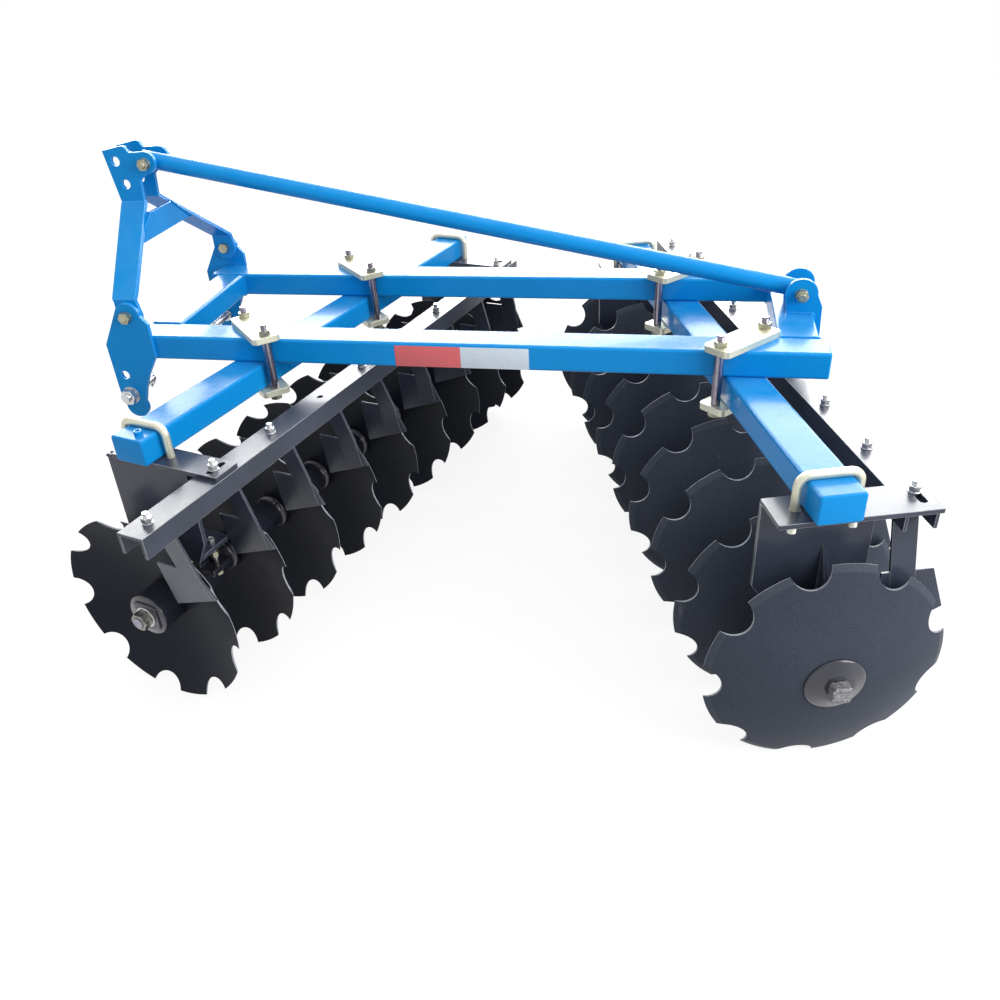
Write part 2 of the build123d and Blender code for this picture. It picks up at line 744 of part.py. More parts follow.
def disc(gang, index):
    """Dished disc with notches and a bevelled back."""
    rim = rim_at(gang, index)
    edge = disc_diameter / 2
    bevel_start = edge - bevel_width

    def at(radius, depth):
        return radius, rim - gang.facing * depth

    def ball(radius, thickness=0.0):
        return at(radius, dish(radius, thickness))

    # the ball surface is followed by two conical rings, which keeps eighteen discs light
    middle = (disc_flat_radius + edge) / 2
    outline = polygon(
        at(0, hub_face),
        ball(disc_flat_radius),
        ball(middle),
        ball(edge),
        at(edge, bevel_edge),
        ball(bevel_start, disc_thickness),
        ball(middle, disc_thickness),
        ball(disc_flat_radius, disc_thickness),
        at(0, hub_back),
    )
    solid = turned(gang, outline)
    for notch in range(notch_count):
        angle = radians(gang.phases[index] + tooth_pitch * (notch + 0.5))
        x = gang.axle_x + notch_circle * cos(angle)
        z = axle_z + notch_circle * sin(angle)
        solid -= bar(notch_radius, rim - dish_depth, rim + dish_depth, x, z)
    solid -= square_hole(gang, rim - 2 * dish_depth, rim + 2 * dish_depth)
    return placed(gang, solid)


def rotor(gang):
    """Discs, spools, axle and end fittings that turn together."""
    facing = gang.facing
    for index in range(disc_count):
        parts[f"{gang.name}_disc_{index + 1}"] = [disc(gang, index)]

    spools = []
    for index in range(disc_count - 1):
        start, end = spool_ends(gang, index)
        # the wider flange stands against the back of a disc
        back, face = (end, start) if facing > 0 else (start, end)
        way = -facing
        back_in = back + way * spool_back_thickness
        face_in = face - way * spool_face_thickness
        points = [
            (0, back),
            (spool_back_radius, back),
            (spool_back_radius, back_in),
            (spool_barrel_radius, back_in),
        ]
        if index in (0, disc_count - 2):
            half = bearing_length / 2 + shoulder_gap
            middle = (start + end) / 2
            points += [
                (spool_barrel_radius, middle - way * half),
                (journal_radius, middle - way * half),
                (journal_radius, middle + way * half),
                (spool_barrel_radius, middle + way * half),
            ]
        points += [
            (spool_barrel_radius, face_in),
            (spool_face_radius, face_in),
            (spool_face_radius, face),
            (0, face),
        ]
        spools.append(placed(gang, turned(gang, polygon(*points)) - square_hole(gang, start, end)))

    # hollow end: spool, nut and thread
    hollow_rim = rim_at(gang, 0 if facing > 0 else disc_count - 1)
    hollow_start = hollow_rim - facing * hub_face
    spool_end = hollow_start + facing * end_spool_length
    end_spool = polygon(
        (0, hollow_start),
        (end_spool_inner_radius, hollow_start),
        (end_spool_outer_radius, spool_end),
        (0, spool_end),
    )
    spools.append(placed(gang, turned(gang, end_spool) - square_hole(gang, hollow_start, spool_end)))
    parts[gang.name + "_spools"] = spools

    washer_face = spool_end + facing * square_washer_thickness
    nut_end = washer_face + facing * axle_nut_thickness
    thread_hole = Circle(axle_thread_radius + hole_clearance)
    square = RectangleRounded(square_washer, square_washer, square_washer_corner) - thread_hole
    square = plate_xz(Pos(gang.axle_x, axle_z) * square, (spool_end + washer_face) / 2, square_washer_thickness)
    nut = Pos(gang.axle_x, axle_z) * (hexagon(axle_nut_flats) - thread_hole)
    nut = plate_xz(nut, (washer_face + nut_end) / 2, axle_nut_thickness)
    parts[gang.name + "_axle_nut"] = [placed(gang, nut)]

    # domed end: washer and square head
    domed_rim = rim_at(gang, disc_count - 1 if facing > 0 else 0)
    domed_start = domed_rim - facing * hub_back
    washer_end = domed_start - facing * bumper_thickness
    washer_outline = polygon(
        (0, domed_start),
        (bumper_radius, domed_start),
        (bumper_radius, domed_start - facing * bumper_rim),
        (bumper_crown_radius, washer_end),
        (0, washer_end),
    )
    washer = turned(gang, washer_outline) - square_hole(gang, domed_start, washer_end)
    parts[gang.name + "_end_washers"] = [placed(gang, square), placed(gang, washer)]

    head_end = washer_end - facing * axle_head_thickness
    bar_length = abs(spool_end - washer_end)
    square = Box(axle_square, bar_length, axle_square)
    axle = Pos(gang.axle_x, (spool_end + washer_end) / 2, axle_z) * square
    head = Box(axle_head, axle_head_thickness, axle_head)
    axle += Pos(gang.axle_x, (washer_end + head_end) / 2, axle_z) * head
    thread_end = nut_end + facing * axle_thread_past_nut
    thread_low, thread_high = min(spool_end, thread_end), max(spool_end, thread_end)
    axle += bar(axle_thread_radius, thread_low, thread_high, gang.axle_x, axle_z)
    parts[gang.name + "_axle"] = [placed(gang, axle)]


frame_beams()
end_caps()
hitch()
mast()
brace()
clamps()
u_bolts()
bearing_bolts()
for each in gangs:
    gang_beam(each)
    cross_plates(each)
    scraper_channel(each)
    scrapers(each)
    hangers(each)
    bearings(each)
    rotor(each)

# The origin is on the ground under the middle of the whole machine
box = Compound(children=[Compound(solids) for solids in parts.values()]).bounding_box()
to_origin = Pos(-(box.min.X + box.max.X) / 2, -(box.min.Y + box.max.Y) / 2, -box.min.Z)

os.makedirs("parts", exist_ok=True)
for name, solids in parts.items():
    placed_solids = [to_origin * solid for solid in solids]
    whole = placed_solids[0] if len(placed_solids) == 1 else Compound(placed_solids)
    export_step(whole, f"parts/{name}.step")
print("origin moved by", tuple(round(value, 4) for value in to_origin.position))
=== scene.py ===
from collections import namedtuple
from math import cos, hypot, pi, radians, sin, sqrt, tan

import bmesh
import bpy
from bpy.props import FloatProperty, FloatVectorProperty, IntProperty, PointerProperty
from mathutils import Matrix, Vector


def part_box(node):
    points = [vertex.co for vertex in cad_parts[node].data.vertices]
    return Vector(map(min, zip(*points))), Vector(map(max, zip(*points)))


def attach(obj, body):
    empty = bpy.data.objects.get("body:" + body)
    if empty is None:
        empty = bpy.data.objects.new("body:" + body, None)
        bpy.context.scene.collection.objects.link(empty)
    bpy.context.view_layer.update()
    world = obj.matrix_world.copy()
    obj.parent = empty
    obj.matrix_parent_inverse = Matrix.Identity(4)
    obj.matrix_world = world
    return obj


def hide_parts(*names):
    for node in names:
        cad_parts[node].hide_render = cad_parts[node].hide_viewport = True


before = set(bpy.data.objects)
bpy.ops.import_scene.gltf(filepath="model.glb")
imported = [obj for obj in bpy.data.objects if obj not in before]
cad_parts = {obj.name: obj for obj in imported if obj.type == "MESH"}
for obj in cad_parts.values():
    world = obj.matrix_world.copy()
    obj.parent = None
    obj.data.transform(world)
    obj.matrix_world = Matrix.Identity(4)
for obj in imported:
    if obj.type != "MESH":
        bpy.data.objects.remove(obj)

bl_info = {
    "name": "Disc Harrow",
    "version": (1, 0, 0),
    "blender": (4, 5, 0),
    "location": "3D View > Sidebar > Harrow",
    "description": "Makes the finished pieces of a mounted disc harrow round its packed frame",
    "category": "Object",
}

# Sizes are in millimetres in the same coordinates as the part: X forward, Y to the machine's left, Z up.
# A gang has its own coordinates, X across it and Y along it. MACHINE takes millimetres to the scene's metres.
MM = 0.001
LEFT_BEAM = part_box("left_frame_beam")
RIGHT_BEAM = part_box("right_frame_beam")
MIDDLE = Vector(((LEFT_BEAM[0].x + LEFT_BEAM[1].x) / 2, (LEFT_BEAM[1].y + RIGHT_BEAM[0].y) / 2, 0))
MACHINE = Matrix.Translation(MIDDLE) @ Matrix.Scale(MM, 4)

# Frame: heights of its faces, and the tubes
FRAME_TOP = 829.0
FRAME_BOTTOM = 759.0
GANG_BOTTOM = 689.0
PLATE_BOTTOM = 677.0
BEAM_Y = 265.0
BEAM_END = 940.0
PLATE_INNER = 315.0
TUBE_WIDTH = 100.0
TUBE_HEIGHT = 70.0
TUBE_CORNER = 8.0
CAP_LENGTH = 6.0
CROSS_TUBES = ((877.0, 90.0), (-877.0, 100.0))
CLAMP_THICKNESS = 18.0

# Bolts: where each one's middle line and near face lie, and sizes that several share
FOOT_BOLT = (925.0, 303.0, 891.0)
BRACE_HEAD_BOLT = (930.0, -46.0, 1240.0)
BRACE_FOOT_BOLT = (-891.0, -51.0, 881.0)
HITCH_PIN = (979.0, PLATE_INNER, 648.0)
M20_FLATS = 30.0
M20_RADIUS = 10.0
NUT_FACE = 0.475
NUT_SLOPE = tan(radians(30))

# Discs: a ball surface with notches and a ground bevel on the domed side
DISC_RADIUS = 280.0
DISH_DEPTH = 65.0
DISC_THICKNESS = 5.0
DISC_FLAT = 66.0
BALL = (DISC_RADIUS ** 2 + DISH_DEPTH ** 2) / (2 * DISH_DEPTH)
NOTCHES = 9
NOTCH_RADIUS = 47.0
NOTCH_CIRCLE = 287.0
BEVEL_START = 266.0
BEVEL_EDGE = 1.6
DISC_SPACING = 230.0
DISC_COUNT = 9
AXLE_Z = 280.0
AXLE_SQUARE = 32.0
BEARING_GAPS = (0, DISC_COUNT - 2)

# Angles of the teeth, alternately half a tooth apart
LOW = 17.0
HIGH = LOW + 180.0 / NOTCHES
Gang = namedtuple(
    "Gang",
    "name x angle axle_x first_rim facing ends bolt_side channel_x scraper_bolts no_bolt on_plates u_bolts "
    "hanger_from_bearing",
)
# scraper_bolts are distances from the rims on the hollow side. no_bolt holds the discs whose scraper bolt is
# missing in the photograph, and on_plates those whose bolt goes through a cross plate.
GANGS = (
    Gang(
        name="front", x=508.9, angle=-14.5, axle_x=0.0, first_rim=870.0, facing=1, ends=(800.0, -930.0),
        bolt_side=-1, channel_x=-212.0,
        scraper_bolts=(103.0, 107.0, 117.0, 125.0, 140.0, 140.0, 137.0, 131.0, 125.0), no_bolt=(3,),
        on_plates=(1, 8), u_bolts=(735.0, -875.0), hanger_from_bearing=73.0,
    ),
    Gang(
        name="rear", x=-653.8, angle=17.3, axle_x=-36.0, first_rim=851.5, facing=-1, ends=(887.0, -890.0),
        bolt_side=1, channel_x=-201.0,
        scraper_bolts=(55.5, 38.0, 36.5, 36.5, 38.0, 38.0, 38.0, 38.0, 38.0), no_bolt=(),
        on_plates=(0, 7), u_bolts=(817.0, -815.0), hanger_from_bearing=-30.0,
    ),
)
PHASES = (LOW, HIGH, LOW, HIGH, LOW, HIGH, LOW, HIGH, LOW)

# Drawings are merged where points lie closer than this, in millimetres, and CAD meshes in metres
MERGE = 1e-4
CAD_MERGE = 2e-6

# Sockets of a Mix node that mixes colours: its two inputs and its result
MIX_A, MIX_B, MIX_RESULT = 6, 7, 2

# The photograph's camera: its place in millimetres and its angles in degrees
CAMERA_PLACE = (-570.4, 2467.4, FRAME_TOP + 925.8)
CAMERA_PITCH, CAMERA_YAW, CAMERA_ROLL = 31.526607, 13.957127, -4.037854
CAMERA_LENS = 32.664
CAMERA_SHIFT = (0.02496, -0.01424)

# How strongly the floor glows where it is seen, and how dark it is for the light that it throws back
FLOOR_GLOW = 0.85
FLOOR_RETURN = 0.34


# Sizes and colours that a user may change

def length_setting(label, text, value, low=0.0, high=0.1):
    return FloatProperty(name=label, description=text, default=value, min=low, max=high, unit="LENGTH",
                         subtype="DISTANCE", precision=4)


def share_setting(label, text, value, high=1.0):
    return FloatProperty(name=label, description=text, default=value, min=0.0, max=high, subtype="FACTOR")


def colour_setting(label, text, value):
    return FloatVectorProperty(name=label, description=text, default=value, size=3, min=0.0, max=1.0,
                               subtype="COLOR")


class HarrowSizes(bpy.types.PropertyGroup):
    """Sizes of the small detail"""

    edge: length_setting("Plate edge", "Width of the softened edges of plates", 0.0012)
    cast_edge: length_setting("Cast edge", "Width of the rounded edges of cast housings", 0.004)
    thread_pitch: length_setting("Thread pitch", "Distance from one thread ridge to the next", 0.0025)
    weld_radius: length_setting("Weld bead", "Radius of the weld beads", 0.0042)
    weld_step: length_setting("Weld ripple", "Distance from one weld ripple to the next", 0.005)
    u_bolt_radius: length_setting("U-bolt bar", "Radius of the U-bolts' bar", 0.010)
    u_bolt_bend: length_setting("U-bolt bend", "Radius of the U-bolts' bends, along the bar's middle", 0.024)
    turn_sides: IntProperty(name="Sides of round pieces", description="Flat sides round a turned piece",
                            default=72, min=12, max=180)


class HarrowColours(bpy.types.PropertyGroup):
    """Colours and finish of the surfaces"""

    blue: colour_setting("Frame blue", "Gloss paint of the frame and gang beams", (0.004, 0.262, 0.675))
    blue_faded: colour_setting("Faded blue", "Thinner, lighter patches of the frame paint",
                               (0.008, 0.300, 0.735))
    black: colour_setting("Gang black", "Gloss paint of the gang frames", (0.033, 0.040, 0.061))
    cast: colour_setting("Cast iron", "Painted castings of the spools and bearings", (0.014, 0.015, 0.024))
    disc: colour_setting("Disc hollow", "Paint on the hollow side of the discs", (0.019, 0.021, 0.030))
    # the dome colour is a painted lighter shade of the disc paint, standing in for light and reflection on
    # the domed side
    domed: colour_setting("Disc dome", "Paint on the domed side of the discs", (0.046, 0.054, 0.074))
    ground: colour_setting("Ground edge", "Ground steel at the discs' edges", (0.34, 0.36, 0.39))
    zinc: colour_setting("Yellow zinc", "Plating of the clamp plates and U-bolts", (0.74, 0.71, 0.55))
    nut: colour_setting("Nut", "White zinc plating of nuts and washers", (0.66, 0.67, 0.68))
    rod: colour_setting("Rod", "Drawn steel of the clamp rods", (0.30, 0.29, 0.36))
    tape_red: colour_setting("Red tape", "Red half of the reflecting tape", (0.68, 0.105, 0.120))
    tape_white: colour_setting("White tape", "Pale half of the reflecting tape", (0.66, 0.75, 0.84))


class HarrowStage(bpy.types.PropertyGroup):
    """Light and floor"""

    sky: share_setting("Sky", "Strength of the even light from all round", 0.62, 4.0)
    key: share_setting("Side lamp", "Strength of the large lamp above the rear left corner", 210.0, 2000.0)
    far: share_setting("Far lamp", "Strength of the panel behind, which only shines in the gloss of the tops",
                       2100.0, 9000.0)
    top: share_setting("Top lamp", "Strength of the panel above, which only shines in round pieces' gloss",
                       230.0, 4000.0)
    roof: share_setting("Roof lamp", "Strength of the large soft lamp overhead", 70.0, 2000.0)
    floor: colour_setting("Floor", "Colour of the floor", (0.60, 0.60, 0.60))


# Meshes

def new_mesh(name, bm):
    """A mesh from a bmesh, with its faces outwards."""
    bmesh.ops.recalc_face_normals(bm, faces=bm.faces[:])
    mesh = bpy.data.meshes.new(name)
    bm.to_mesh(mesh)
    bm.free()
    return mesh


def skin(bm, rings, close=True):
    """Faces between rings of points. A ring of one point is a pole. Ends that are rings are closed."""
    rows = [[bm.verts.new(point) for point in ring] for ring in rings]
    faces = []
    for lower, upper in zip(rows, rows[1:]):
        count = max(len(lower), len(upper))
        for i in range(count):
            j = (i + 1) % count
            corners = []
            corners += [lower[0]] if len(lower) == 1 else [lower[i], lower[j]]
            corners += [upper[0]] if len(upper) == 1 else [upper[j], upper[i]]
            faces.append(bm.faces.new(corners))
    if close:
        for row in (rows[0], rows[-1]):
            if len(row) > 1:
                bm.faces.new(row)
    return faces


def turned(bm, profile, sides, closed=False):
    """A body turned about Y, from radii and places along it. A radius of 0 is a pole."""
    rings = []
    for radius, along in profile:
        rings.append([Vector((0, along, 0))] if radius == 0 else round_ring(radius, along, sides))
    if closed:
        rings.append(rings[0])
        skin(bm, rings, close=False)
        bmesh.ops.remove_doubles(bm, verts=bm.verts[:], dist=MERGE)
    else:
        skin(bm, rings)


def arc(centre, radius, start, end, steps):
    """Profile points on an arc, with its angles in degrees."""
    points = []
    for i in range(steps + 1):
        angle = radians(start + (end - start) * i / steps)
        points.append((centre[0] + radius * cos(angle), centre[1] + radius * sin(angle)))
    return points


def hexagon_ring(flats, along, drop=0.0, way=1, corners=8):
    """Ring round a hexagon. With a drop, it falls away towards the corners as a chamfered nut's edge does."""
    ring = []
    for i in range(6 * corners):
        angle = 2 * pi * i / (6 * corners)
        off = (angle % (pi / 3)) - pi / 6
        reach = flats / 2 / cos(off)
        fall = max(0.0, reach - NUT_FACE * flats) * NUT_SLOPE * drop
        ring.append(Vector((reach * cos(angle), along - way * fall, reach * sin(angle))))
    return ring


def round_ring(radius, along, count=48):
    """Points round a circle about Y."""
    turns = [2 * pi * i / count for i in range(count)]
    return [Vector((radius * cos(a), along, radius * sin(a))) for a in turns]


def add_nut(bm, flats, start, height, bore):
    """Hexagon nut along Y, chamfered at both ends, with a countersunk bore."""
    end = start + height
    face = NUT_FACE * flats
    sink = 1.0
    rings = [
        round_ring(bore, start + sink),
        round_ring(bore + sink, start),
        round_ring(face, start),
        hexagon_ring(flats, start, 1.0, -1),
        hexagon_ring(flats, end, 1.0, 1),
        round_ring(face, end),
        round_ring(bore + sink, end),
        round_ring(bore, end - sink),
    ]
    rings.append(rings[0])
    skin(bm, rings, close=False)
    bmesh.ops.remove_doubles(bm, verts=bm.verts[:], dist=MERGE)


def add_head(bm, flats, start, height):
    """Hexagon bolt head along Y. It lies on the start and is chamfered at its far end."""
    way = 1 if height > 0 else -1
    end = start + height
    face = NUT_FACE * flats
    hollow, hollow_depth = 0.86 * face, 0.3
    rings = [
        [Vector((0, start, 0))],
        hexagon_ring(flats, start),
        hexagon_ring(flats, end, 1.0, way),
        round_ring(face, end),
        round_ring(hollow, end - way * hollow_depth),
        [Vector((0, end - way * hollow_depth, 0))],
    ]
    skin(bm, rings)


def add_washer(bm, outer, bore, start, thickness, sides=48):
    """Flat washer along Y with broken edges."""
    soft = min(0.6, thickness / 4)
    end = start + thickness
    turned(bm, [
        (bore, start), (outer - soft, start), (outer, start + soft),
        (outer, end - soft), (outer - soft, end), (bore, end),
    ], sides, closed=True)


def add_rod(bm, radius, start, end, threads=(), pitch=2.5, sides=32):
    """Round rod along Y with chamfered ends, and ridges along each stretch in threads."""
    chamfer, plain_end = 1.2, 1.5
    depth = 0.30 * pitch
    profile = [(0, start), (radius - chamfer, start), (radius, start + chamfer)]
    for low, high in sorted(threads):
        low = max(low, start + plain_end)
        high = min(high, end - plain_end)
        profile.append((radius, low))
        for i in range(int((high - low) / pitch)):
            profile.append((radius - depth, low + (i + 0.5) * pitch))
            profile.append((radius, low + (i + 1) * pitch))
    profile += [(radius, end - chamfer), (radius - chamfer, end), (0, end)]
    turned(bm, profile, sides)


def drawn(*steps):
    """One drawing from several bodies. Each step is a function that adds one, followed by its values."""
    whole = bmesh.new()
    for add, *values in steps:
        part = bmesh.new()
        add(part, *values)
        bmesh.ops.recalc_face_normals(part, faces=part.faces[:])
        carrier = bpy.data.meshes.new("part")
        part.to_mesh(carrier)
        part.free()
        whole.from_mesh(carrier)
        bpy.data.meshes.remove(carrier)
    return whole


def shade(mesh, angle=38.0):
    """Smooth faces, with edges sharper than the angle left crisp."""
    mesh.polygons.foreach_set("use_smooth", [True] * len(mesh.polygons))
    mesh.set_sharp_from_angle(angle=radians(angle))


def object_from(name, data):
    """An object in the scene from a mesh, lamp or camera."""
    obj = bpy.data.objects.new(name, data)
    bpy.context.scene.collection.objects.link(obj)
    return obj


def settle(obj, body, slot, *nodes):
    """Hands a finished piece to the frame."""
    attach(obj, body)
    if nodes:
        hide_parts(*nodes)
    return obj


def gang_place(gang, rotor=False):
    """Takes a gang's coordinates, or those of its axle, to the scene."""
    place = MACHINE @ Matrix.Translation((gang.x, 0, 0)) @ Matrix.Rotation(radians(gang.angle), 4, "Z")
    if rotor:
        place = place @ Matrix.Translation((gang.axle_x, 0, AXLE_Z))
    return place


def axle_place(gang, y, turned_round=False):
    """Takes coordinates on a gang's axle, from a point along it, to the scene."""
    return gang_place(gang, True) @ Matrix.Translation((0, y, 0)) @ half_turn(turned_round, "X")


def half_turn(wanted, axis="Z"):
    """Turns a piece round where that is wanted."""
    return Matrix.Rotation(pi if wanted else 0, 4, axis)


def mirrored_place(place, side):
    """A place on the machine's left or, turned round, the same one on its right."""
    x, y, z = place
    return MACHINE @ Matrix.Translation((x, side * y, z)) @ half_turn(side < 0)


def upright(x, y, z):
    """Turns a piece drawn along Y so that it stands up at a place."""
    return Matrix.Translation((x, y, z)) @ Matrix.Rotation(radians(90), 4, "X")


def along_gang(gang, index):
    """Where the plane of a disc's rim lies along its gang."""
    return gang.first_rim - DISC_SPACING * index


def hollow_end(gang):
    """Where the flat of the outermost disc lies on its hollow side."""
    outermost = 0 if gang.facing > 0 else DISC_COUNT - 1
    return along_gang(gang, outermost) - gang.facing * dish(DISC_FLAT)


def domed_end(gang):
    """Where the flat of the outermost disc lies on its domed side."""
    outermost = DISC_COUNT - 1 if gang.facing > 0 else 0
    return along_gang(gang, outermost) - gang.facing * dish(DISC_FLAT, DISC_THICKNESS)


def spool_span(gang, index):
    """Lower and upper end of the spool between a disc and the next one."""
    face, back = dish(DISC_FLAT), dish(DISC_FLAT, DISC_THICKNESS)
    if gang.facing > 0:
        return along_gang(gang, index + 1) - face, along_gang(gang, index) - back
    return along_gang(gang, index + 1) + back, along_gang(gang, index) + face


def dish(radius, thickness=0.0):
    """How far the ball surface lies behind the plane of the rim."""
    return sqrt((BALL + thickness) ** 2 - radius ** 2) - BALL + DISH_DEPTH


# Geometry node trees

def node_tree(name, inputs):
    """An empty tree with geometry in and out and the named inputs."""
    tree = bpy.data.node_groups.new(name, "GeometryNodeTree")
    face = tree.interface
    face.new_socket("Geometry", in_out="INPUT", socket_type="NodeSocketGeometry")
    for label, kind, value in inputs:
        socket = face.new_socket(label, in_out="INPUT", socket_type="NodeSocket" + kind)
        if value is not None:
            socket.default_value = value
    face.new_socket("Geometry", in_out="OUTPUT", socket_type="NodeSocketGeometry")
    return tree, tree.nodes.new("NodeGroupInput"), tree.nodes.new("NodeGroupOutput")


def node(tree, kind, values=None, **settings):
    """A node with its settings and its unlinked input values."""
    made = tree.nodes.new(kind)
    for key, value in settings.items():
        setattr(made, key, value)
    for key, value in (values or {}).items():
        made.inputs[key].default_value = value
    return made


def join(tree, *links):
    """Links nodes. Each link is a node, its output, the next node and its input."""
    for source, out, target, into in links:
        tree.links.new(source.outputs[out], target.inputs[into])


BUILT = {}


def built(maker):
    """What a function that builds a node tree made when it was first asked for."""
    if maker not in BUILT:
        BUILT[maker] = maker()
    return BUILT[maker]


def end_tree(tree, enter, leave, last, out):
    """Ends a tree: its copies are made real, and get its finish."""
    real = node(tree, "GeometryNodeRealizeInstances")
    paint = node(tree, "GeometryNodeSetMaterial")
    join(
        tree,
        (last, out, real, "Geometry"), (real, "Geometry", paint, "Geometry"),
        (enter, "Finish", paint, "Material"), (paint, "Geometry", leave, "Geometry"),
    )
    return tree


def copies_tree():
    """Copies of one piece, one at each point, turned as the point's attribute says."""
    tree, enter, leave = node_tree("Copies at points", (
        ("Piece", "Object", None), ("Finish", "Material", None), ("Size", "Float", 1.0),
    ))
    turn = node(tree, "GeometryNodeInputNamedAttribute", {"Name": "turn"}, data_type="FLOAT_VECTOR")
    euler = node(tree, "FunctionNodeEulerToRotation")
    piece = node(tree, "GeometryNodeObjectInfo")
    place = node(tree, "GeometryNodeInstanceOnPoints")
    join(
        tree,
        (turn, "Attribute", euler, "Euler"), (enter, "Piece", piece, "Object"),
        (enter, "Geometry", place, "Points"), (piece, "Geometry", place, "Instance"),
        (euler, "Rotation", place, "Rotation"), (enter, "Size", place, "Scale"),
    )
    return end_tree(tree, enter, leave, place, "Instances")


def bar_tree():
    """A round bar along lines, with its bends rounded."""
    tree, enter, leave = node_tree("Round bar along a line", (
        ("Radius", "Float", 0.01), ("Bend", "Float", 0.02), ("Sides", "Int", 24),
        ("Finish", "Material", None),
    ))
    curve = node(tree, "GeometryNodeMeshToCurve")
    bend = node(tree, "GeometryNodeFilletCurve", {"Limit Radius": True, "Count": 10}, mode="POLY")
    section = node(tree, "GeometryNodeCurvePrimitiveCircle")
    bar = node(tree, "GeometryNodeCurveToMesh", {"Fill Caps": True})
    join(
        tree,
        (enter, "Geometry", curve, "Mesh"), (curve, "Curve", bend, "Curve"),
        (enter, "Bend", bend, "Radius"), (enter, "Sides", section, "Resolution"),
        (enter, "Radius", section, "Radius"), (bend, "Curve", bar, "Curve"),
        (section, "Curve", bar, "Profile Curve"),
    )
    return end_tree(tree, enter, leave, bar, "Mesh")


def weld_tree():
    """Weld beads along lines: a thick line that swells and thins with each ripple."""
    tree, enter, leave = node_tree("Weld bead along a line", (
        ("Radius", "Float", 0.004), ("Ripple", "Float", 0.005), ("Roughness", "Float", 0.0006),
        ("Seed", "Int", 3), ("Finish", "Material", None),
    ))
    step = 0.0016
    curve = node(tree, "GeometryNodeMeshToCurve")
    even = node(tree, "GeometryNodeResampleCurve", {"Length": step}, mode="LENGTH")
    spline = node(tree, "GeometryNodeSplineParameter")
    steps = node(tree, "ShaderNodeMath", operation="DIVIDE")
    wave = node(tree, "ShaderNodeMath", operation="FRACT")
    swell = node(tree, "ShaderNodeMapRange", {"To Min": 0.82, "To Max": 1.1})
    radius = node(tree, "GeometryNodeSetCurveRadius")
    section = node(tree, "GeometryNodeCurvePrimitiveCircle", {"Resolution": 8})
    held = node(tree, "GeometryNodeInputRadius")
    bead = node(tree, "GeometryNodeCurveToMesh", {"Fill Caps": True})
    jitter = node(tree, "FunctionNodeRandomValue", {0: (-1.0, -1.0, -1.0), 1: (1.0, 1.0, 1.0)},
                  data_type="FLOAT_VECTOR")
    amount = node(tree, "ShaderNodeVectorMath", operation="SCALE")
    shift = node(tree, "GeometryNodeSetPosition")
    join(
        tree,
        (enter, "Geometry", curve, "Mesh"), (curve, "Curve", even, "Curve"),
        (spline, "Length", steps, 0), (enter, "Ripple", steps, 1), (steps, 0, wave, 0),
        (wave, 0, swell, "Value"), (even, "Curve", radius, "Curve"), (swell, "Result", radius, "Radius"),
        (enter, "Radius", section, "Radius"), (radius, "Curve", bead, "Curve"),
        (section, "Curve", bead, "Profile Curve"), (enter, "Seed", jitter, "Seed"),
        (jitter, 0, amount, 0), (enter, "Roughness", amount, "Scale"), (bead, "Mesh", shift, "Geometry"),
        (amount, 0, shift, "Offset"),
        # the ripples scale the bead through the curve's own radius
        (held, "Radius", bead, "Scale"),
    )
    return end_tree(tree, enter, leave, shift, "Geometry")


def grown(obj, maker, **values):
    """Runs a tree on an object and keeps the result as its plain mesh."""
    tree = built(maker)
    modifier = obj.modifiers.new(tree.name, "NODES")
    modifier.node_group = tree
    for item in tree.interface.items_tree:
        key = item.name.lower().replace(" ", "_")
        if item.in_out == "INPUT" and key in values:
            modifier[item.identifier] = values[key]
    graph = bpy.context.evaluated_depsgraph_get()
    mesh = bpy.data.meshes.new_from_object(obj.evaluated_get(graph))
    obj.modifiers.remove(modifier)
    obj.data = mesh
    mesh.name = obj.name
    return obj


def copied(name, bm, places, finish, angle=38.0):
    """One object with a copy of the drawn piece at each place. The piece is in millimetres."""
    original = new_mesh(name + "_one", bm)
    original.transform(Matrix.Scale(MM, 4))
    shade(original, angle)
    pattern = object_from(name + "_one", original)
    points = bpy.data.meshes.new(name)
    points.from_pydata([place.to_translation() for place in places], [], [])
    turn = points.attributes.new("turn", "FLOAT_VECTOR", "POINT")
    for i, place in enumerate(places):
        turn.data[i].vector = place.to_euler("XYZ")
    obj = grown(object_from(name, points), copies_tree, piece=pattern, finish=finish)
    bpy.data.objects.remove(pattern)
    return obj


def barred(name, lines, finish, radius, bend, sides=24):
    """Round bars along lines of points, which are in metres."""
    obj = grown(object_from(name, line_mesh(name, lines)), bar_tree, radius=radius, bend=bend, sides=sides,
                finish=finish)
    shade(obj.data, 45)
    return obj


def welded(name, lines, finish, sizes):
    """Weld beads along lines of points, which are in metres."""
    obj = grown(object_from(name, line_mesh(name, lines)), weld_tree, radius=sizes.weld_radius,
                ripple=sizes.weld_step, finish=finish)
    shade(obj.data, 60)
    return obj


def line_mesh(name, lines):
    """A mesh of edges through each line's points."""
    points, edges = [], []
    for line in lines:
        start = len(points)
        points += [Vector(point) for point in line]
        edges += [(start + i, start + i + 1) for i in range(len(line) - 1)]
    mesh = bpy.data.meshes.new(name)
    mesh.from_pydata(points, edges, [])
    return mesh


def joined(name, objects):
    """Several objects made one."""
    bm = bmesh.new()
    materials = []
    for obj in objects:
        start = len(bm.faces)
        bm.from_mesh(obj.data)
        bm.faces.ensure_lookup_table()
        for face in bm.faces[start:]:
            material = obj.data.materials[face.material_index]
            if material not in materials:
                materials.append(material)
            face.material_index = materials.index(material)
    mesh = bpy.data.meshes.new(name)
    bm.to_mesh(mesh)
    bm.free()
    for material in materials:
        mesh.materials.append(material)
    for obj in objects:
        bpy.data.objects.remove(obj)
    return object_from(name, mesh)


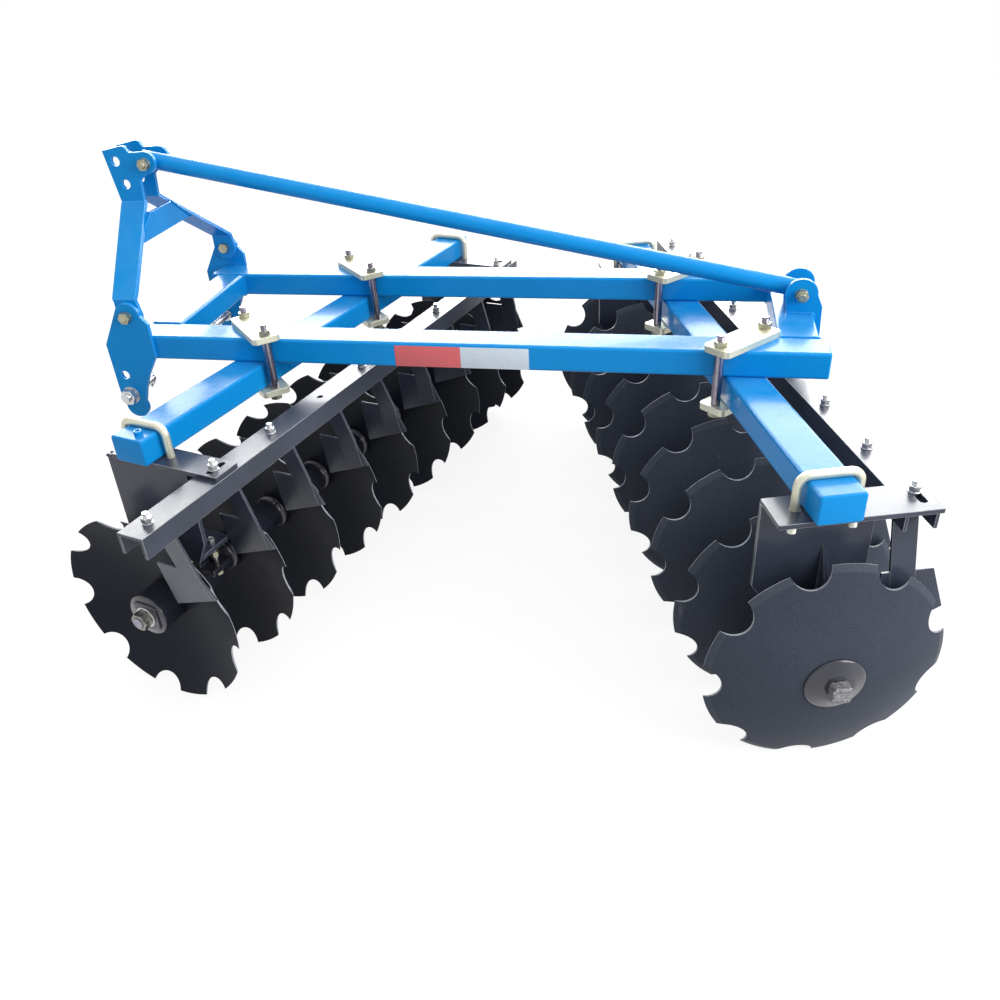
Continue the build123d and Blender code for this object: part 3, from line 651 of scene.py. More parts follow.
def flat_mesh(name, nodes, way):
    """The mesh of CAD nodes, with its flat faces whole, split at concave corners, or as they come."""
    bm = bmesh.new()
    for each in nodes:
        bm.from_mesh(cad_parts[each].data)
    bmesh.ops.remove_doubles(bm, verts=bm.verts[:], dist=CAD_MERGE)
    if way != "as it comes":
        nearly_flat = radians(0.6)
        bmesh.ops.dissolve_limit(bm, angle_limit=nearly_flat, verts=bm.verts[:], edges=bm.edges[:])
    if way == "split":
        bmesh.ops.connect_verts_concave(bm, faces=[face for face in bm.faces if len(face.verts) > 4])
    mesh = bpy.data.meshes.new(name)
    bm.to_mesh(mesh)
    bm.free()
    # the normals that came with the frame no longer fit the faces
    if "custom_normal" in mesh.attributes:
        mesh.attributes.remove(mesh.attributes["custom_normal"])
    return mesh


def folded(obj):
    """Area that a bevel has folded over or laid twice."""
    graph = bpy.context.evaluated_depsgraph_get()
    made = obj.evaluated_get(graph).to_mesh()
    made.calc_loop_triangles()
    whole = sum(each.area for each in made.loop_triangles)
    aligned = 0.7
    turned_over = sum(each.area for each in made.loop_triangles
                      if each.normal.dot(made.polygons[each.polygon_index].normal) < aligned)
    obj.evaluated_get(graph).to_mesh_clear()
    return 2 * turned_over + max(0.0, whole - sum(each.area for each in obj.data.polygons))


def crisp(name, body, slot, finish, edge_finish, width, *nodes, segments=2):
    """A copy of CAD nodes with softened edges, which stands for them: the least folded of three tries."""
    tries = []
    for way in ("whole", "split", "as it comes"):
        obj = softened(name, flat_mesh(name, nodes, way), finish, edge_finish, width, segments)
        tries.append((folded(obj), len(tries), obj))
    tries.sort()
    for _, _, other in tries[1:]:
        bpy.data.objects.remove(other)
    obj = tries[0][2]
    obj.name = name
    return settle(obj, body, slot, *nodes)


def softened(name, mesh, finish, edge_finish, width, segments):
    """An object with a bevel on its sharp edges, and normals that keep its flat faces flat."""
    mesh.materials.append(finish)
    mesh.materials.append(edge_finish)
    mesh.polygons.foreach_set("material_index", [0] * len(mesh.polygons))
    mesh.polygons.foreach_set("use_smooth", [True] * len(mesh.polygons))
    obj = object_from(name, mesh)
    bevel = obj.modifiers.new("Softened edges", "BEVEL")
    bevel.width = width
    bevel.segments = segments
    bevel.limit_method = "ANGLE"
    bevel.angle_limit = radians(32)
    bevel.use_clamp_overlap = False
    bevel.loop_slide = False
    bevel.harden_normals = True
    # the bevel's faces take the edge finish, which on the blue and black pieces is lighter: edge wear and a
    # painted highlight
    bevel.material = 1
    return obj


# Finishes

def shader_group(name, inputs, outputs):
    """An empty shader node group with its sockets."""
    group = bpy.data.node_groups.new(name, "ShaderNodeTree")
    for label, kind, value in inputs:
        socket = group.interface.new_socket(label, in_out="INPUT", socket_type="NodeSocket" + kind)
        socket.default_value = value
    for label, kind in outputs:
        group.interface.new_socket(label, in_out="OUTPUT", socket_type="NodeSocket" + kind)
    return group, group.nodes.new("NodeGroupInput"), group.nodes.new("NodeGroupOutput")


def film_group():
    """A paint or plating film: two shades in soft patches, fine speckle, dust on top, and its height."""
    group, enter, leave = shader_group("Film", (
        ("Vector", "Vector", (0, 0, 0)), ("Colour", "Color", (1, 1, 1, 1)),
        ("Other Colour", "Color", (1, 1, 1, 1)),
        ("Patch Scale", "Float", 4.0), ("Patches", "Float", 0.5), ("Speckle", "Float", 0.1),
        ("Dust Colour", "Color", (0.5, 0.48, 0.44, 1)), ("Dust", "Float", 0.1),
        ("Roughness", "Float", 0.3), ("Unevenness", "Float", 0.08),
    ), (("Color", "Color"), ("Roughness", "Float"), ("Height", "Float")))
    patch = node(group, "ShaderNodeTexNoise", {"Detail": 4.0, "Roughness": 0.6})
    ramp = node(group, "ShaderNodeMapRange", {"From Min": 0.38, "From Max": 0.66})
    share = node(group, "ShaderNodeMath", operation="MULTIPLY")
    two = node(group, "ShaderNodeMix", data_type="RGBA")
    fine = node(group, "ShaderNodeTexNoise", {"Scale": 260.0, "Detail": 2.0})
    fine_range = node(group, "ShaderNodeMapRange",
                      {"From Min": 0.3, "From Max": 0.7, "To Min": -0.5, "To Max": 0.5})
    fine_share = node(group, "ShaderNodeMath", operation="MULTIPLY_ADD")
    fine_share.inputs[2].default_value = 1.0
    speckled = node(group, "ShaderNodeVectorMath", operation="SCALE")
    surface = node(group, "ShaderNodeNewGeometry")
    facing = node(group, "ShaderNodeSeparateXYZ")
    # up-facing faces get the dust tint, which with a pale shade of the paint is also a painted highlight on
    # the tops
    up = node(group, "ShaderNodeMapRange", {"From Min": 0.45, "From Max": 0.98})
    dust_noise = node(group, "ShaderNodeTexNoise", {"Scale": 14.0, "Detail": 7.0, "Roughness": 0.68})
    dust_range = node(group, "ShaderNodeMapRange", {"From Min": 0.35, "From Max": 0.72})
    dust_up = node(group, "ShaderNodeMath", operation="MULTIPLY")
    dust_and_top_light_mask = node(group, "ShaderNodeMath", operation="MULTIPLY", use_clamp=True)
    dust_and_top_light_mixed = node(group, "ShaderNodeMix", data_type="RGBA")
    rough_noise = node(group, "ShaderNodeTexNoise", {"Scale": 22.0, "Detail": 5.0, "Roughness": 0.6})
    rough_range = node(group, "ShaderNodeMapRange", {"To Min": -1.0, "To Max": 1.0})
    rough = node(group, "ShaderNodeMath", operation="MULTIPLY_ADD")
    rough_dust = node(group, "ShaderNodeMath", operation="MULTIPLY_ADD", use_clamp=True)
    rough_dust.inputs[1].default_value = 0.55
    peel = node(group, "ShaderNodeTexNoise", {"Scale": 150.0, "Detail": 3.0, "Roughness": 0.5})
    join(
        group,
        (enter, "Vector", patch, "Vector"), (enter, "Patch Scale", patch, "Scale"),
        (patch, 0, ramp, "Value"), (ramp, 0, share, 0), (enter, "Patches", share, 1),
        (share, 0, two, 0), (enter, "Colour", two, MIX_A), (enter, "Other Colour", two, MIX_B),
        (enter, "Vector", fine, "Vector"), (fine, 0, fine_range, "Value"),
        (fine_range, 0, fine_share, 0), (enter, "Speckle", fine_share, 1),
        (two, MIX_RESULT, speckled, 0), (fine_share, 0, speckled, "Scale"),
        (surface, "Normal", facing, 0), (facing, "Z", up, "Value"),
        (enter, "Vector", dust_noise, "Vector"), (dust_noise, 0, dust_range, "Value"),
        (up, 0, dust_up, 0), (dust_range, 0, dust_up, 1),
        (dust_up, 0, dust_and_top_light_mask, 0), (enter, "Dust", dust_and_top_light_mask, 1),
        (dust_and_top_light_mask, 0, dust_and_top_light_mixed, 0), (speckled, 0, dust_and_top_light_mixed, MIX_A), (enter, "Dust Colour", dust_and_top_light_mixed, MIX_B),
        (enter, "Vector", rough_noise, "Vector"), (rough_noise, 0, rough_range, "Value"),
        (rough_range, 0, rough, 0), (enter, "Unevenness", rough, 1), (enter, "Roughness", rough, 2),
        (dust_and_top_light_mask, 0, rough_dust, 0), (rough, 0, rough_dust, 2),
        (enter, "Vector", peel, "Vector"),
        (dust_and_top_light_mixed, MIX_RESULT, leave, "Color"), (rough_dust, 0, leave, "Roughness"), (peel, 0, leave, "Height"),
    )
    return group


def scuff_group():
    """A mask of thin scratches and rubbed spots."""
    group, enter, leave = shader_group("Scuffs", (
        ("Vector", "Vector", (0, 0, 0)), ("Scale", "Float", 30.0), ("Amount", "Float", 0.3),
    ), (("Mask", "Float"),))
    stretch = node(group, "ShaderNodeVectorMath", operation="MULTIPLY")
    stretch.inputs[1].default_value = (1.0, 1.0, 0.12)
    lines = node(group, "ShaderNodeTexNoise", {"Detail": 6.0, "Roughness": 0.75})
    thin = node(group, "ShaderNodeMapRange", {"From Min": 0.60, "From Max": 0.70})
    spots = node(group, "ShaderNodeTexNoise", {"Scale": 9.0, "Detail": 4.0})
    few = node(group, "ShaderNodeMapRange", {"From Min": 0.52, "From Max": 0.68})
    both = node(group, "ShaderNodeMath", operation="MULTIPLY")
    share = node(group, "ShaderNodeMath", operation="MULTIPLY", use_clamp=True)
    join(
        group,
        (enter, "Vector", stretch, 0), (stretch, 0, lines, "Vector"), (enter, "Scale", lines, "Scale"),
        (lines, 0, thin, "Value"), (enter, "Vector", spots, "Vector"), (spots, 0, few, "Value"),
        (thin, 0, both, 0), (few, 0, both, 1), (both, 0, share, 0), (enter, "Amount", share, 1),
        (share, 0, leave, "Mask"),
    )
    return group


def rgba(colour):
    return (*colour, 1.0)


def new_material(name):
    """An empty material, with its tree and its surface shader."""
    material = bpy.data.materials.new(name)
    material.use_nodes = True
    return material, material.node_tree, material.node_tree.nodes["Principled BSDF"]


def coated(name, colour, other, rough, scuff_colour, scuffs, dust, metal=0.0, coat=0.0, coat_rough=0.08,
           patches=0.8, patch_scale=4.0, speckle=0.1, uneven=0.08, bump=0.03, dust_colour=(0.46, 0.44, 0.41),
           specular=0.5):
    """A film over metal, with scuffs, dust and a slightly uneven skin."""
    if name in bpy.data.materials:
        return bpy.data.materials[name]
    material, tree, bsdf = new_material(name)
    place = node(tree, "ShaderNodeTexCoord")
    film = node(tree, "ShaderNodeGroup", node_tree=built(film_group))
    for key, value in (
        ("Colour", rgba(colour)), ("Other Colour", rgba(other)), ("Patch Scale", patch_scale),
        ("Patches", patches), ("Speckle", speckle), ("Dust Colour", rgba(dust_colour)), ("Dust", dust),
        ("Roughness", rough), ("Unevenness", uneven),
    ):
        film.inputs[key].default_value = value
    rubbed = node(tree, "ShaderNodeGroup", node_tree=built(scuff_group))
    rubbed.inputs["Amount"].default_value = scuffs
    mixed = node(tree, "ShaderNodeMix", data_type="RGBA")
    mixed.inputs[MIX_B].default_value = rgba(scuff_colour)
    relief = node(tree, "ShaderNodeBump", {"Strength": bump, "Distance": 0.002})
    join(
        tree,
        (place, "Object", film, "Vector"), (place, "Object", rubbed, "Vector"),
        (rubbed, "Mask", mixed, 0), (film, "Color", mixed, MIX_A), (mixed, MIX_RESULT, bsdf, "Base Color"),
        (film, "Roughness", bsdf, "Roughness"), (film, "Height", relief, "Height"),
        (relief, "Normal", bsdf, "Normal"),
    )
    bsdf.inputs["Metallic"].default_value = metal
    bsdf.inputs["Coat Weight"].default_value = coat
    bsdf.inputs["Coat Roughness"].default_value = coat_rough
    bsdf.inputs["Specular IOR Level"].default_value = specular
    return material


def shades(colour, factor, lift=0.0):
    """A lighter shade of a colour."""
    return [min(1.0, lift + factor * c) for c in colour]


# The pale blue dust colour on top faces is partly a painted highlight on the tops of the blue paint.
def blue_paint(colours):
    return coated("Frame blue", colours.blue, colours.blue_faded, rough=0.26, scuff_colour=(0.05, 0.36, 0.74),
                  scuffs=0.12, dust=0.10, coat=0.10, coat_rough=0.10, patches=0.7, patch_scale=2.5,
                  speckle=0.05, uneven=0.06, bump=0.035, dust_colour=(0.40, 0.62, 0.78), specular=0.07)


# Lighter blue on the bevelled edges: worn thin paint, and partly a painted highlight along the edges.
def blue_edge_wear_and_painted_highlight(colours):
    return coated("Frame blue edges", shades(colours.blue, 1.15, 0.02), shades(colours.blue_faded, 1.2, 0.06),
                  rough=0.3, scuff_colour=(0.20, 0.50, 0.85), scuffs=0.5, dust=0.1, coat=0.25,
                  coat_rough=0.12, patch_scale=30.0, specular=0.22)


def black_paint(colours):
    return coated("Gang black", colours.black, shades(colours.black, 1.5), rough=0.34,
                  scuff_colour=(0.10, 0.10, 0.11), scuffs=0.35, dust=0.06, coat=0.22, coat_rough=0.16,
                  patch_scale=5.0, speckle=0.2, uneven=0.1, bump=0.05, dust_colour=(0.22, 0.21, 0.20),
                  specular=0.28)


# Light grey on the bevelled edges of the gang frames: worn bare metal, and partly a painted highlight along
# the edges.
def black_edge_wear_and_painted_highlight():
    return coated("Gang black edges", (0.20, 0.21, 0.23), (0.38, 0.39, 0.41), rough=0.34,
                  scuff_colour=(0.45, 0.45, 0.47), scuffs=0.6, dust=0.1, coat=0.2, coat_rough=0.2,
                  patch_scale=30.0, speckle=0.3, specular=0.3)


def cast_paint(colours):
    return coated("Cast black", colours.cast, shades(colours.cast, 1.7), rough=0.30,
                  scuff_colour=(0.08, 0.08, 0.085), scuffs=0.25, dust=0.08, coat=0.7, coat_rough=0.10,
                  patch_scale=9.0, speckle=0.5, uneven=0.12, bump=0.14, dust_colour=(0.16, 0.15, 0.14),
                  specular=0.4)


def yellow_zinc(colours):
    return coated("Yellow zinc", colours.zinc, (0.72, 0.74, 0.60), rough=0.36,
                  scuff_colour=(0.62, 0.60, 0.50), scuffs=0.4, dust=0.15, metal=0.55, patches=0.9,
                  patch_scale=14.0, speckle=0.2, uneven=0.12, bump=0.05, dust_colour=(0.62, 0.60, 0.52))


def white_zinc(colours):
    return coated("White zinc", colours.nut, shades(colours.nut, 0.82), rough=0.28,
                  scuff_colour=(0.40, 0.39, 0.36), scuffs=0.4, dust=0.08, metal=0.85, patch_scale=40.0,
                  speckle=0.25, uneven=0.12, bump=0.05)


def olive_zinc():
    return coated("Olive zinc", (0.44, 0.42, 0.30), (0.30, 0.30, 0.24), rough=0.30,
                  scuff_colour=(0.55, 0.53, 0.42), scuffs=0.5, dust=0.08, metal=0.85, patches=0.9,
                  patch_scale=45.0, speckle=0.3, uneven=0.12, bump=0.06)


def dark_nut():
    return coated("Dark nut", (0.22, 0.215, 0.20), (0.34, 0.33, 0.29), rough=0.26,
                  scuff_colour=(0.55, 0.53, 0.48), scuffs=0.5, dust=0.05, metal=0.85, patches=0.9,
                  patch_scale=30.0, speckle=0.3, uneven=0.12, bump=0.05)


def drawn_steel(colours):
    return coated("Drawn steel", colours.rod, (0.24, 0.20, 0.24), rough=0.24,
                  scuff_colour=(0.55, 0.54, 0.55), scuffs=0.5, dust=0.05, metal=0.95, patch_scale=25.0,
                  speckle=0.2, uneven=0.1, bump=0.04)


def rough_steel():
    """The sawn or forged face of the axle's head."""
    return coated("Rough steel", (0.30, 0.30, 0.31), (0.16, 0.16, 0.17), rough=0.42,
                  scuff_colour=(0.62, 0.62, 0.63), scuffs=0.6, dust=0.0, metal=0.6, patches=1.0,
                  patch_scale=160.0, speckle=1.2, uneven=0.2, bump=0.5)


def disc_paint(colours):
    """Painted disc steel, lighter on the dome and bare at the ground edges, as two attributes say."""
    material = coated("Disc steel", colours.disc, shades(colours.disc, 1.15), rough=0.34,
                      scuff_colour=(0.11, 0.11, 0.13), scuffs=0.25, dust=0.0, coat=0.0, patches=0.9,
                      patch_scale=3.2, speckle=0.25, uneven=0.1, bump=0.06, specular=0.05)
    tree = material.node_tree
    bsdf = tree.nodes["Principled BSDF"]
    if "Ground mask" in tree.nodes:
        return material
    mask = node(tree, "ShaderNodeAttribute", attribute_name="ground")
    mask.name = "Ground mask"
    place = node(tree, "ShaderNodeTexCoord")
    lines = node(tree, "ShaderNodeTexNoise", {"Scale": 90.0, "Detail": 5.0, "Roughness": 0.7})
    streaks = node(tree, "ShaderNodeMix", data_type="RGBA")
    streaks.inputs[MIX_A].default_value = rgba(shades(colours.ground, 0.55))
    streaks.inputs[MIX_B].default_value = rgba(shades(colours.ground, 1.45))
    both = node(tree, "ShaderNodeMix", data_type="RGBA")
    # the domed side gets a painted lighter shade, for the light and reflection on it
    dome = node(tree, "ShaderNodeAttribute", attribute_name="domed")
    lift = node(tree, "ShaderNodeMix", data_type="RGBA")
    lift.inputs[MIX_A].default_value = (1.0, 1.0, 1.0, 1.0)
    lift.inputs[MIX_B].default_value = rgba([b / a for a, b in zip(colours.disc, colours.domed)])
    painted_dome_light = node(tree, "ShaderNodeVectorMath", operation="MULTIPLY")
    painted = bsdf.inputs["Base Color"].links[0].from_socket
    tree.links.new(painted, painted_dome_light.inputs[0])
    join(
        tree,
        (dome, "Fac", lift, 0), (lift, MIX_RESULT, painted_dome_light, 1), (painted_dome_light, 0, both, MIX_A),
        (place, "Object", lines, "Vector"), (lines, 0, streaks, 0), (mask, "Fac", both, 0),
        (streaks, MIX_RESULT, both, MIX_B), (both, MIX_RESULT, bsdf, "Base Color"),
    )
    return material


def tape_finish(name, colour):
    """Reflecting tape with its fine honeycomb of cells."""
    if name in bpy.data.materials:
        return bpy.data.materials[name]
    material, tree, bsdf = new_material(name)
    place = node(tree, "ShaderNodeTexCoord")
    flat = node(tree, "ShaderNodeVectorMath", operation="MULTIPLY")
    flat.inputs[1].default_value = (1.0, 0.0, 1.0)
    cells = node(tree, "ShaderNodeTexVoronoi", {"Scale": 260.0, "Randomness": 0.12},
                 feature="DISTANCE_TO_EDGE")
    walls = node(tree, "ShaderNodeMapRange",
                 {"From Min": 0.02, "From Max": 0.10, "To Min": 0.80, "To Max": 1.0})
    grime = node(tree, "ShaderNodeTexNoise", {"Scale": 16.0, "Detail": 6.0, "Roughness": 0.7})
    dirt = node(tree, "ShaderNodeMapRange",
                {"From Min": 0.3, "From Max": 0.7, "To Min": 0.90, "To Max": 1.04})
    tone = node(tree, "ShaderNodeMath", operation="MULTIPLY")
    final = node(tree, "ShaderNodeVectorMath", operation="SCALE")
    final.inputs[0].default_value = colour
    rough = node(tree, "ShaderNodeMapRange", {"To Min": 0.22, "To Max": 0.42})
    relief = node(tree, "ShaderNodeBump", {"Strength": 0.12, "Distance": 0.0008})
    join(
        tree,
        (place, "Object", flat, 0), (flat, 0, cells, "Vector"), (cells, 0, walls, "Value"),
        (place, "Object", grime, "Vector"), (grime, 0, dirt, "Value"), (walls, 0, tone, 0),
        (dirt, 0, tone, 1), (tone, 0, final, "Scale"), (final, 0, bsdf, "Base Color"),
        (grime, 0, rough, "Value"), (rough, 0, bsdf, "Roughness"), (walls, 0, relief, "Height"),
        (relief, "Normal", bsdf, "Normal"),
    )
    bsdf.inputs["Coat Weight"].default_value = 0.4
    return material


def repaint(finish, *nodes):
    """Gives CAD nodes a finish."""
    for name in nodes:
        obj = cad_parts[name]
        for place in obj.material_slots:
            place.link = "OBJECT"
            place.material = finish


# The pieces

def rounded_rectangle(width, height, corner, steps=6):
    """Points round a rectangle in Y and Z."""
    points = []
    for (y, z), start in (((1, 1), 0), ((-1, 1), 90), ((-1, -1), 180), ((1, -1), 270)):
        centre = (y * (width / 2 - corner), z * (height / 2 - corner))
        points += arc(centre, corner, start, start + 90, steps)
    return points


def cap_drawing():
    """Cap of a tube's end along X, from X = 0, with a soft edge."""
    bm = bmesh.new()
    rings = []
    profile = ((0.0, 0.0), (1.2, 0.0), (2.6, 0.4), (4.0, 1.2), (5.0, 2.3), (5.7, 3.8), (CAP_LENGTH, 5.6))
    for x, inset in profile:
        corner = TUBE_CORNER - min(inset, 4.0) * 0.8
        outline = rounded_rectangle(TUBE_WIDTH - 2 * inset, TUBE_HEIGHT - 2 * inset, corner)
        rings.append([Vector((x, y, z)) for y, z in outline])
    skin(bm, rings)
    return bm


def make_tubes(settings):
    """Painted tubes, their rounded end caps, the welds between them and the boss on a gang beam."""
    blue = blue_paint(settings.colours)
    repaint(blue, "left_frame_beam", "right_frame_beam", "front_cross_tube", "rear_cross_tube",
            "front_gang_beam", "rear_gang_beam", "brace_pipe")
    frame_middle = (FRAME_TOP + FRAME_BOTTOM) / 2
    gang_middle = (FRAME_BOTTOM + GANG_BOTTOM) / 2
    places = []
    for end in (1, -1):
        for side in (1, -1):
            places.append(MACHINE @ Matrix.Translation((end * BEAM_END, side * BEAM_Y, frame_middle))
                          @ half_turn(end < 0))
    for gang in GANGS:
        for y, inset, turn in ((gang.ends[0], -CAP_LENGTH, 90), (gang.ends[1], CAP_LENGTH, -90)):
            places.append(gang_place(gang) @ Matrix.Translation((0, y + inset, gang_middle))
                          @ Matrix.Rotation(radians(turn), 4, "Z"))
    caps = copied("rounded_tube_caps", cap_drawing(), places, blue, 50)
    settle(caps, "frame", "blue_paint", "tube_end_caps")

    # a threaded boss stands on the near end of the front gang beam
    boss_profile = [(5.5, 0), (10.5, 0), (10.5, 11), (9.6, 12), (6.2, 12), (5.5, 11)]
    boss_place = gang_place(GANGS[0]) @ upright(-16.4, 770.5, FRAME_BOTTOM - 0.5)
    boss = copied("beam_boss", drawn((turned, boss_profile, 32, True)), [boss_place], blue)
    settle(boss, "frame", "blue_paint")

    beads = welded("frame_welds", frame_weld_lines(frame_middle), blue, settings.sizes)
    settle(beads, "frame", "blue_paint")


def frame_weld_lines(frame_middle):
    """Lines of the welds at the cross tubes, the mast's cross plate, the bracket and the hitch plates."""
    lines = []
    for x, width in CROSS_TUBES:
        for side in (1, -1):
            outline = rounded_rectangle(width, TUBE_HEIGHT, TUBE_CORNER)
            y = side * (BEAM_Y - TUBE_WIDTH / 2)
            loop = [MACHINE @ Vector((x + a, y, frame_middle + b)) for a, b in outline]
            lines.append(loop + loop[:1])
    low, high = 209.0, 279.0
    leg_top, leg_at_top, leg_slope = 303.0, 30.0, 1.358
    for side in (1, -1):
        inner = [(side * (leg_at_top + leg_slope * (leg_top - h)), FRAME_TOP + h) for h in (low, high)]
        for x in (940.0, 950.0):
            lines.append([MACHINE @ Vector((x, y, z)) for y, z in inner])
        for y in (39.0, 51.0):
            bracket_foot = ((-928.0, 762.0), (-928.0, 826.0), (-924.0, 830.0), (-858.0, 830.0))
            lines.append([MACHINE @ Vector((x, side * y, z)) for x, z in bracket_foot])
    for side in (1, -1):
        y, z = side * (PLATE_INNER + 1), FRAME_TOP + 0.5
        lines.append([MACHINE @ Vector((x, y, z)) for x in (880.0, 936.0)])
    return lines


def make_mast(settings):
    """Mast legs and their cross plate, hitch plates and the brace's bracket, with softened edges."""
    colours, sizes = settings.colours, settings.sizes
    # edges, the finish of the bevels, is a lighter blue: edge wear and a painted highlight along the edges
    blue, edges = blue_paint(colours), blue_edge_wear_and_painted_highlight(colours)
    for node_name in ("left_mast_leg", "right_mast_leg", "mast_cross_plate", "left_hitch_plate",
                      "right_hitch_plate", "brace_bracket"):
        crisp(node_name + "_fine", "frame", "blue_paint", blue, edges, sizes.edge, node_name)


def bolt_drawing(radius, flats, grip, nut=None, past=10.0, washers=3.0, pitch=2.5, washer_share=0.62):
    """Bolt along Y from a head below 0 to a nut on the far side of the grip."""
    head, bore = 1.25 * radius, radius + 0.5
    nut = 1.6 * radius if nut is None else nut
    end = grip + washers + nut + past
    return drawn(
        (add_head, flats, -washers, -head),
        (add_rod, radius, -washers - 0.5, end, [(grip + washers, end)], pitch),
        (add_nut, flats, grip + washers, nut, radius - 0.3),
        (add_washer, washer_share * flats, bore, grip, washers),
        (add_washer, washer_share * flats, bore, -washers, washers),
    )


def make_frame_bolts(settings):
    """Bolts of the mast's feet and the brace, and the lower hitch pins with their lynch pins."""
    olive, white = olive_zinc(), white_zinc(settings.colours)
    foot_drawing = bolt_drawing(M20_RADIUS, M20_FLATS, 24.0, nut=18.0, past=2.0, washer_share=0.5)
    foot_places = [mirrored_place(FOOT_BOLT, side) for side in (1, -1)]
    feet = copied("mast_foot_bolts_fine", foot_drawing, foot_places, olive)
    settle(feet, "frame", "yellow_zinc", "mast_foot_bolts")
    ends = []
    for name, place, grip in (("head", BRACE_HEAD_BOLT, 92.0), ("foot", BRACE_FOOT_BOLT, 102.0)):
        drawing = bolt_drawing(M20_RADIUS, M20_FLATS, grip, past=7.0, washer_share=0.54)
        ends.append(copied(f"brace_{name}_bolt", drawing, [MACHINE @ Matrix.Translation(place)], olive))
    settle(joined("brace_bolts_fine", ends), "frame", "yellow_zinc", "brace_bolts")

    pin_profile = [
        (0, -112), (9, -112), (11, -111.4), (14, -107.5), (14, -104), (14, -9), (14.6, -8), (21.2, -8),
        (22, -7.2), (22, -0.8), (21.2, 0), (12, 0), (12, 0.5), (0, 0.5),
    ]
    lynch_profile = [(0, -26), (3.0, -25.4), (4.6, -22), (4.6, 15), (6.5, 17), (6.5, 24), (5, 26), (0, 26)]
    lynch_y = -97.0
    ring_across, ring_along, ring_lean, ring_steps = 13.0, 20.0, 4.0, 24
    ring_start, ring_sweep, ring_wire = -62, 304, 0.0016
    for name, side in (("left", 1), ("right", -1)):
        place = mirrored_place(HITCH_PIN, side)
        pin = drawn(
            (turned, pin_profile, 64),
            (add_rod, 12.0, 0, 48.0, [(10, 48)], 2.5, 40),
            (add_nut, 42.0, 15.0, 21.0, 11.5),
            (add_washer, 26.0, 12.3, 12.0, 3.0, 56),
        )
        steel = copied(name + "_pin_steel", pin, [place], white)
        lynch = copied(name + "_lynch", drawn((turned, lynch_profile, 28)),
                       [place @ upright(0, lynch_y, 0)], white)
        ring = []
        for i in range(ring_steps + 1):
            a = radians(ring_start + ring_sweep * i / ring_steps)
            ring.append(place @ Vector((ring_across * cos(a), lynch_y - 4.0 + ring_lean * sin(a),
                                        -ring_along * sin(a))))
        wire = barred(name + "_lynch_wire", [ring], white, ring_wire, 0.0, 10)
        settle(joined(name + "_hitch_pin_fine", [steel, lynch, wire]), "frame", "bright_steel",
               name + "_hitch_pin")


def clamp_places(gang, beam):
    """The two rods of the clamp where a gang beam crosses a long beam."""
    turn = radians(gang.angle)
    centre = gang.x - beam * tan(turn)
    past_gang_beam, past_beam = TUBE_WIDTH / 2 + 22.0, TUBE_WIDTH / 2 + 13.5
    places = []
    for side in (1, -1):
        across = side * gang.bolt_side * past_gang_beam
        places.append((centre + (across - side * past_beam * sin(turn)) / cos(turn), beam + side * past_beam))
    return places


def make_clamps(settings):
    """Clamp plates with their rods, nuts and heads."""
    colours, sizes = settings.colours, settings.sizes
    zinc = yellow_zinc(colours)
    crisp("clamp_plates_fine", "frame", "yellow_zinc", zinc, zinc, sizes.edge, "clamp_plates")
    under, above = GANG_BOTTOM - CLAMP_THICKNESS, FRAME_TOP + CLAMP_THICKNESS
    top, past = above - under, 31.0
    places = []
    for gang in GANGS:
        for beam in (BEAM_Y, -BEAM_Y):
            places += [MACHINE @ upright(x, y, under) for x, y in clamp_places(gang, beam)]
    rods = copied("clamp_rods", drawn(
        (add_rod, M20_RADIUS, -2, top + past, [(top, top + past)], sizes.thread_pitch / MM),
        (add_rod, 12.0, CLAMP_THICKNESS, top - CLAMP_THICKNESS),
    ), places, drawn_steel(colours))
    nuts = copied("clamp_nuts", drawn(
        (add_head, M20_FLATS, -0.5, -12.5),
        (add_nut, M20_FLATS, top + 2.0, 14.0, 9.7),
        (add_washer, 17.0, 10.4, top, 2.0),
    ), places, olive_zinc())
    settle(joined("clamp_bolts_fine", [rods, nuts]), "frame", "bright_steel", "clamp_bolts")


def make_gang_frames(settings):
    """U-bolts with their nuts, cross plates, channels, hangers and the hangers' welds."""
    colours, sizes = settings.colours, settings.sizes
    # edges, the finish of the bevels, is light grey: edge wear and a painted highlight along the edges
    zinc, black, edges = yellow_zinc(colours), black_paint(colours), black_edge_wear_and_painted_highlight()
    lines, nut_places = [], []
    leg, leg_bottom, leg_top = 66.0, 633.0, 769.0
    for gang in GANGS:
        place = gang_place(gang)
        for y in gang.u_bolts:
            corners = ((-leg, leg_bottom), (-leg, leg_top), (leg, leg_top), (leg, leg_bottom))
            lines.append([place @ Vector((x, y, z)) for x, z in corners])
            nut_places += [place @ upright(x, y, PLATE_BOTTOM) for x in (-leg, leg)]
    bars = barred("u_bolt_bars", lines, zinc, sizes.u_bolt_radius, sizes.u_bolt_bend, 28)
    nuts = copied("u_bolt_nuts", drawn(
        (add_nut, M20_FLATS, -19.0, 16.0, 9.6),
        (add_washer, 18.0, 10.3, -3.0, 3.0),
        (add_rod, 10.3, -45.5, -18.0, [(-45, -18)], sizes.thread_pitch / MM),
    ), nut_places, white_zinc(colours))
    settle(joined("u_bolts_fine", [bars, nuts]), "frame", "yellow_zinc", "u_bolts")

    for gang in GANGS:
        for part in ("cross_plates", "scraper_channel", "hangers"):
            node_name = f"{gang.name}_{part}"
            crisp(node_name + "_fine", "frame", "black_paint", black, edges, sizes.edge, node_name)
    settle(welded("hanger_welds", hanger_weld_lines(), black, sizes), "frame", "black_paint")


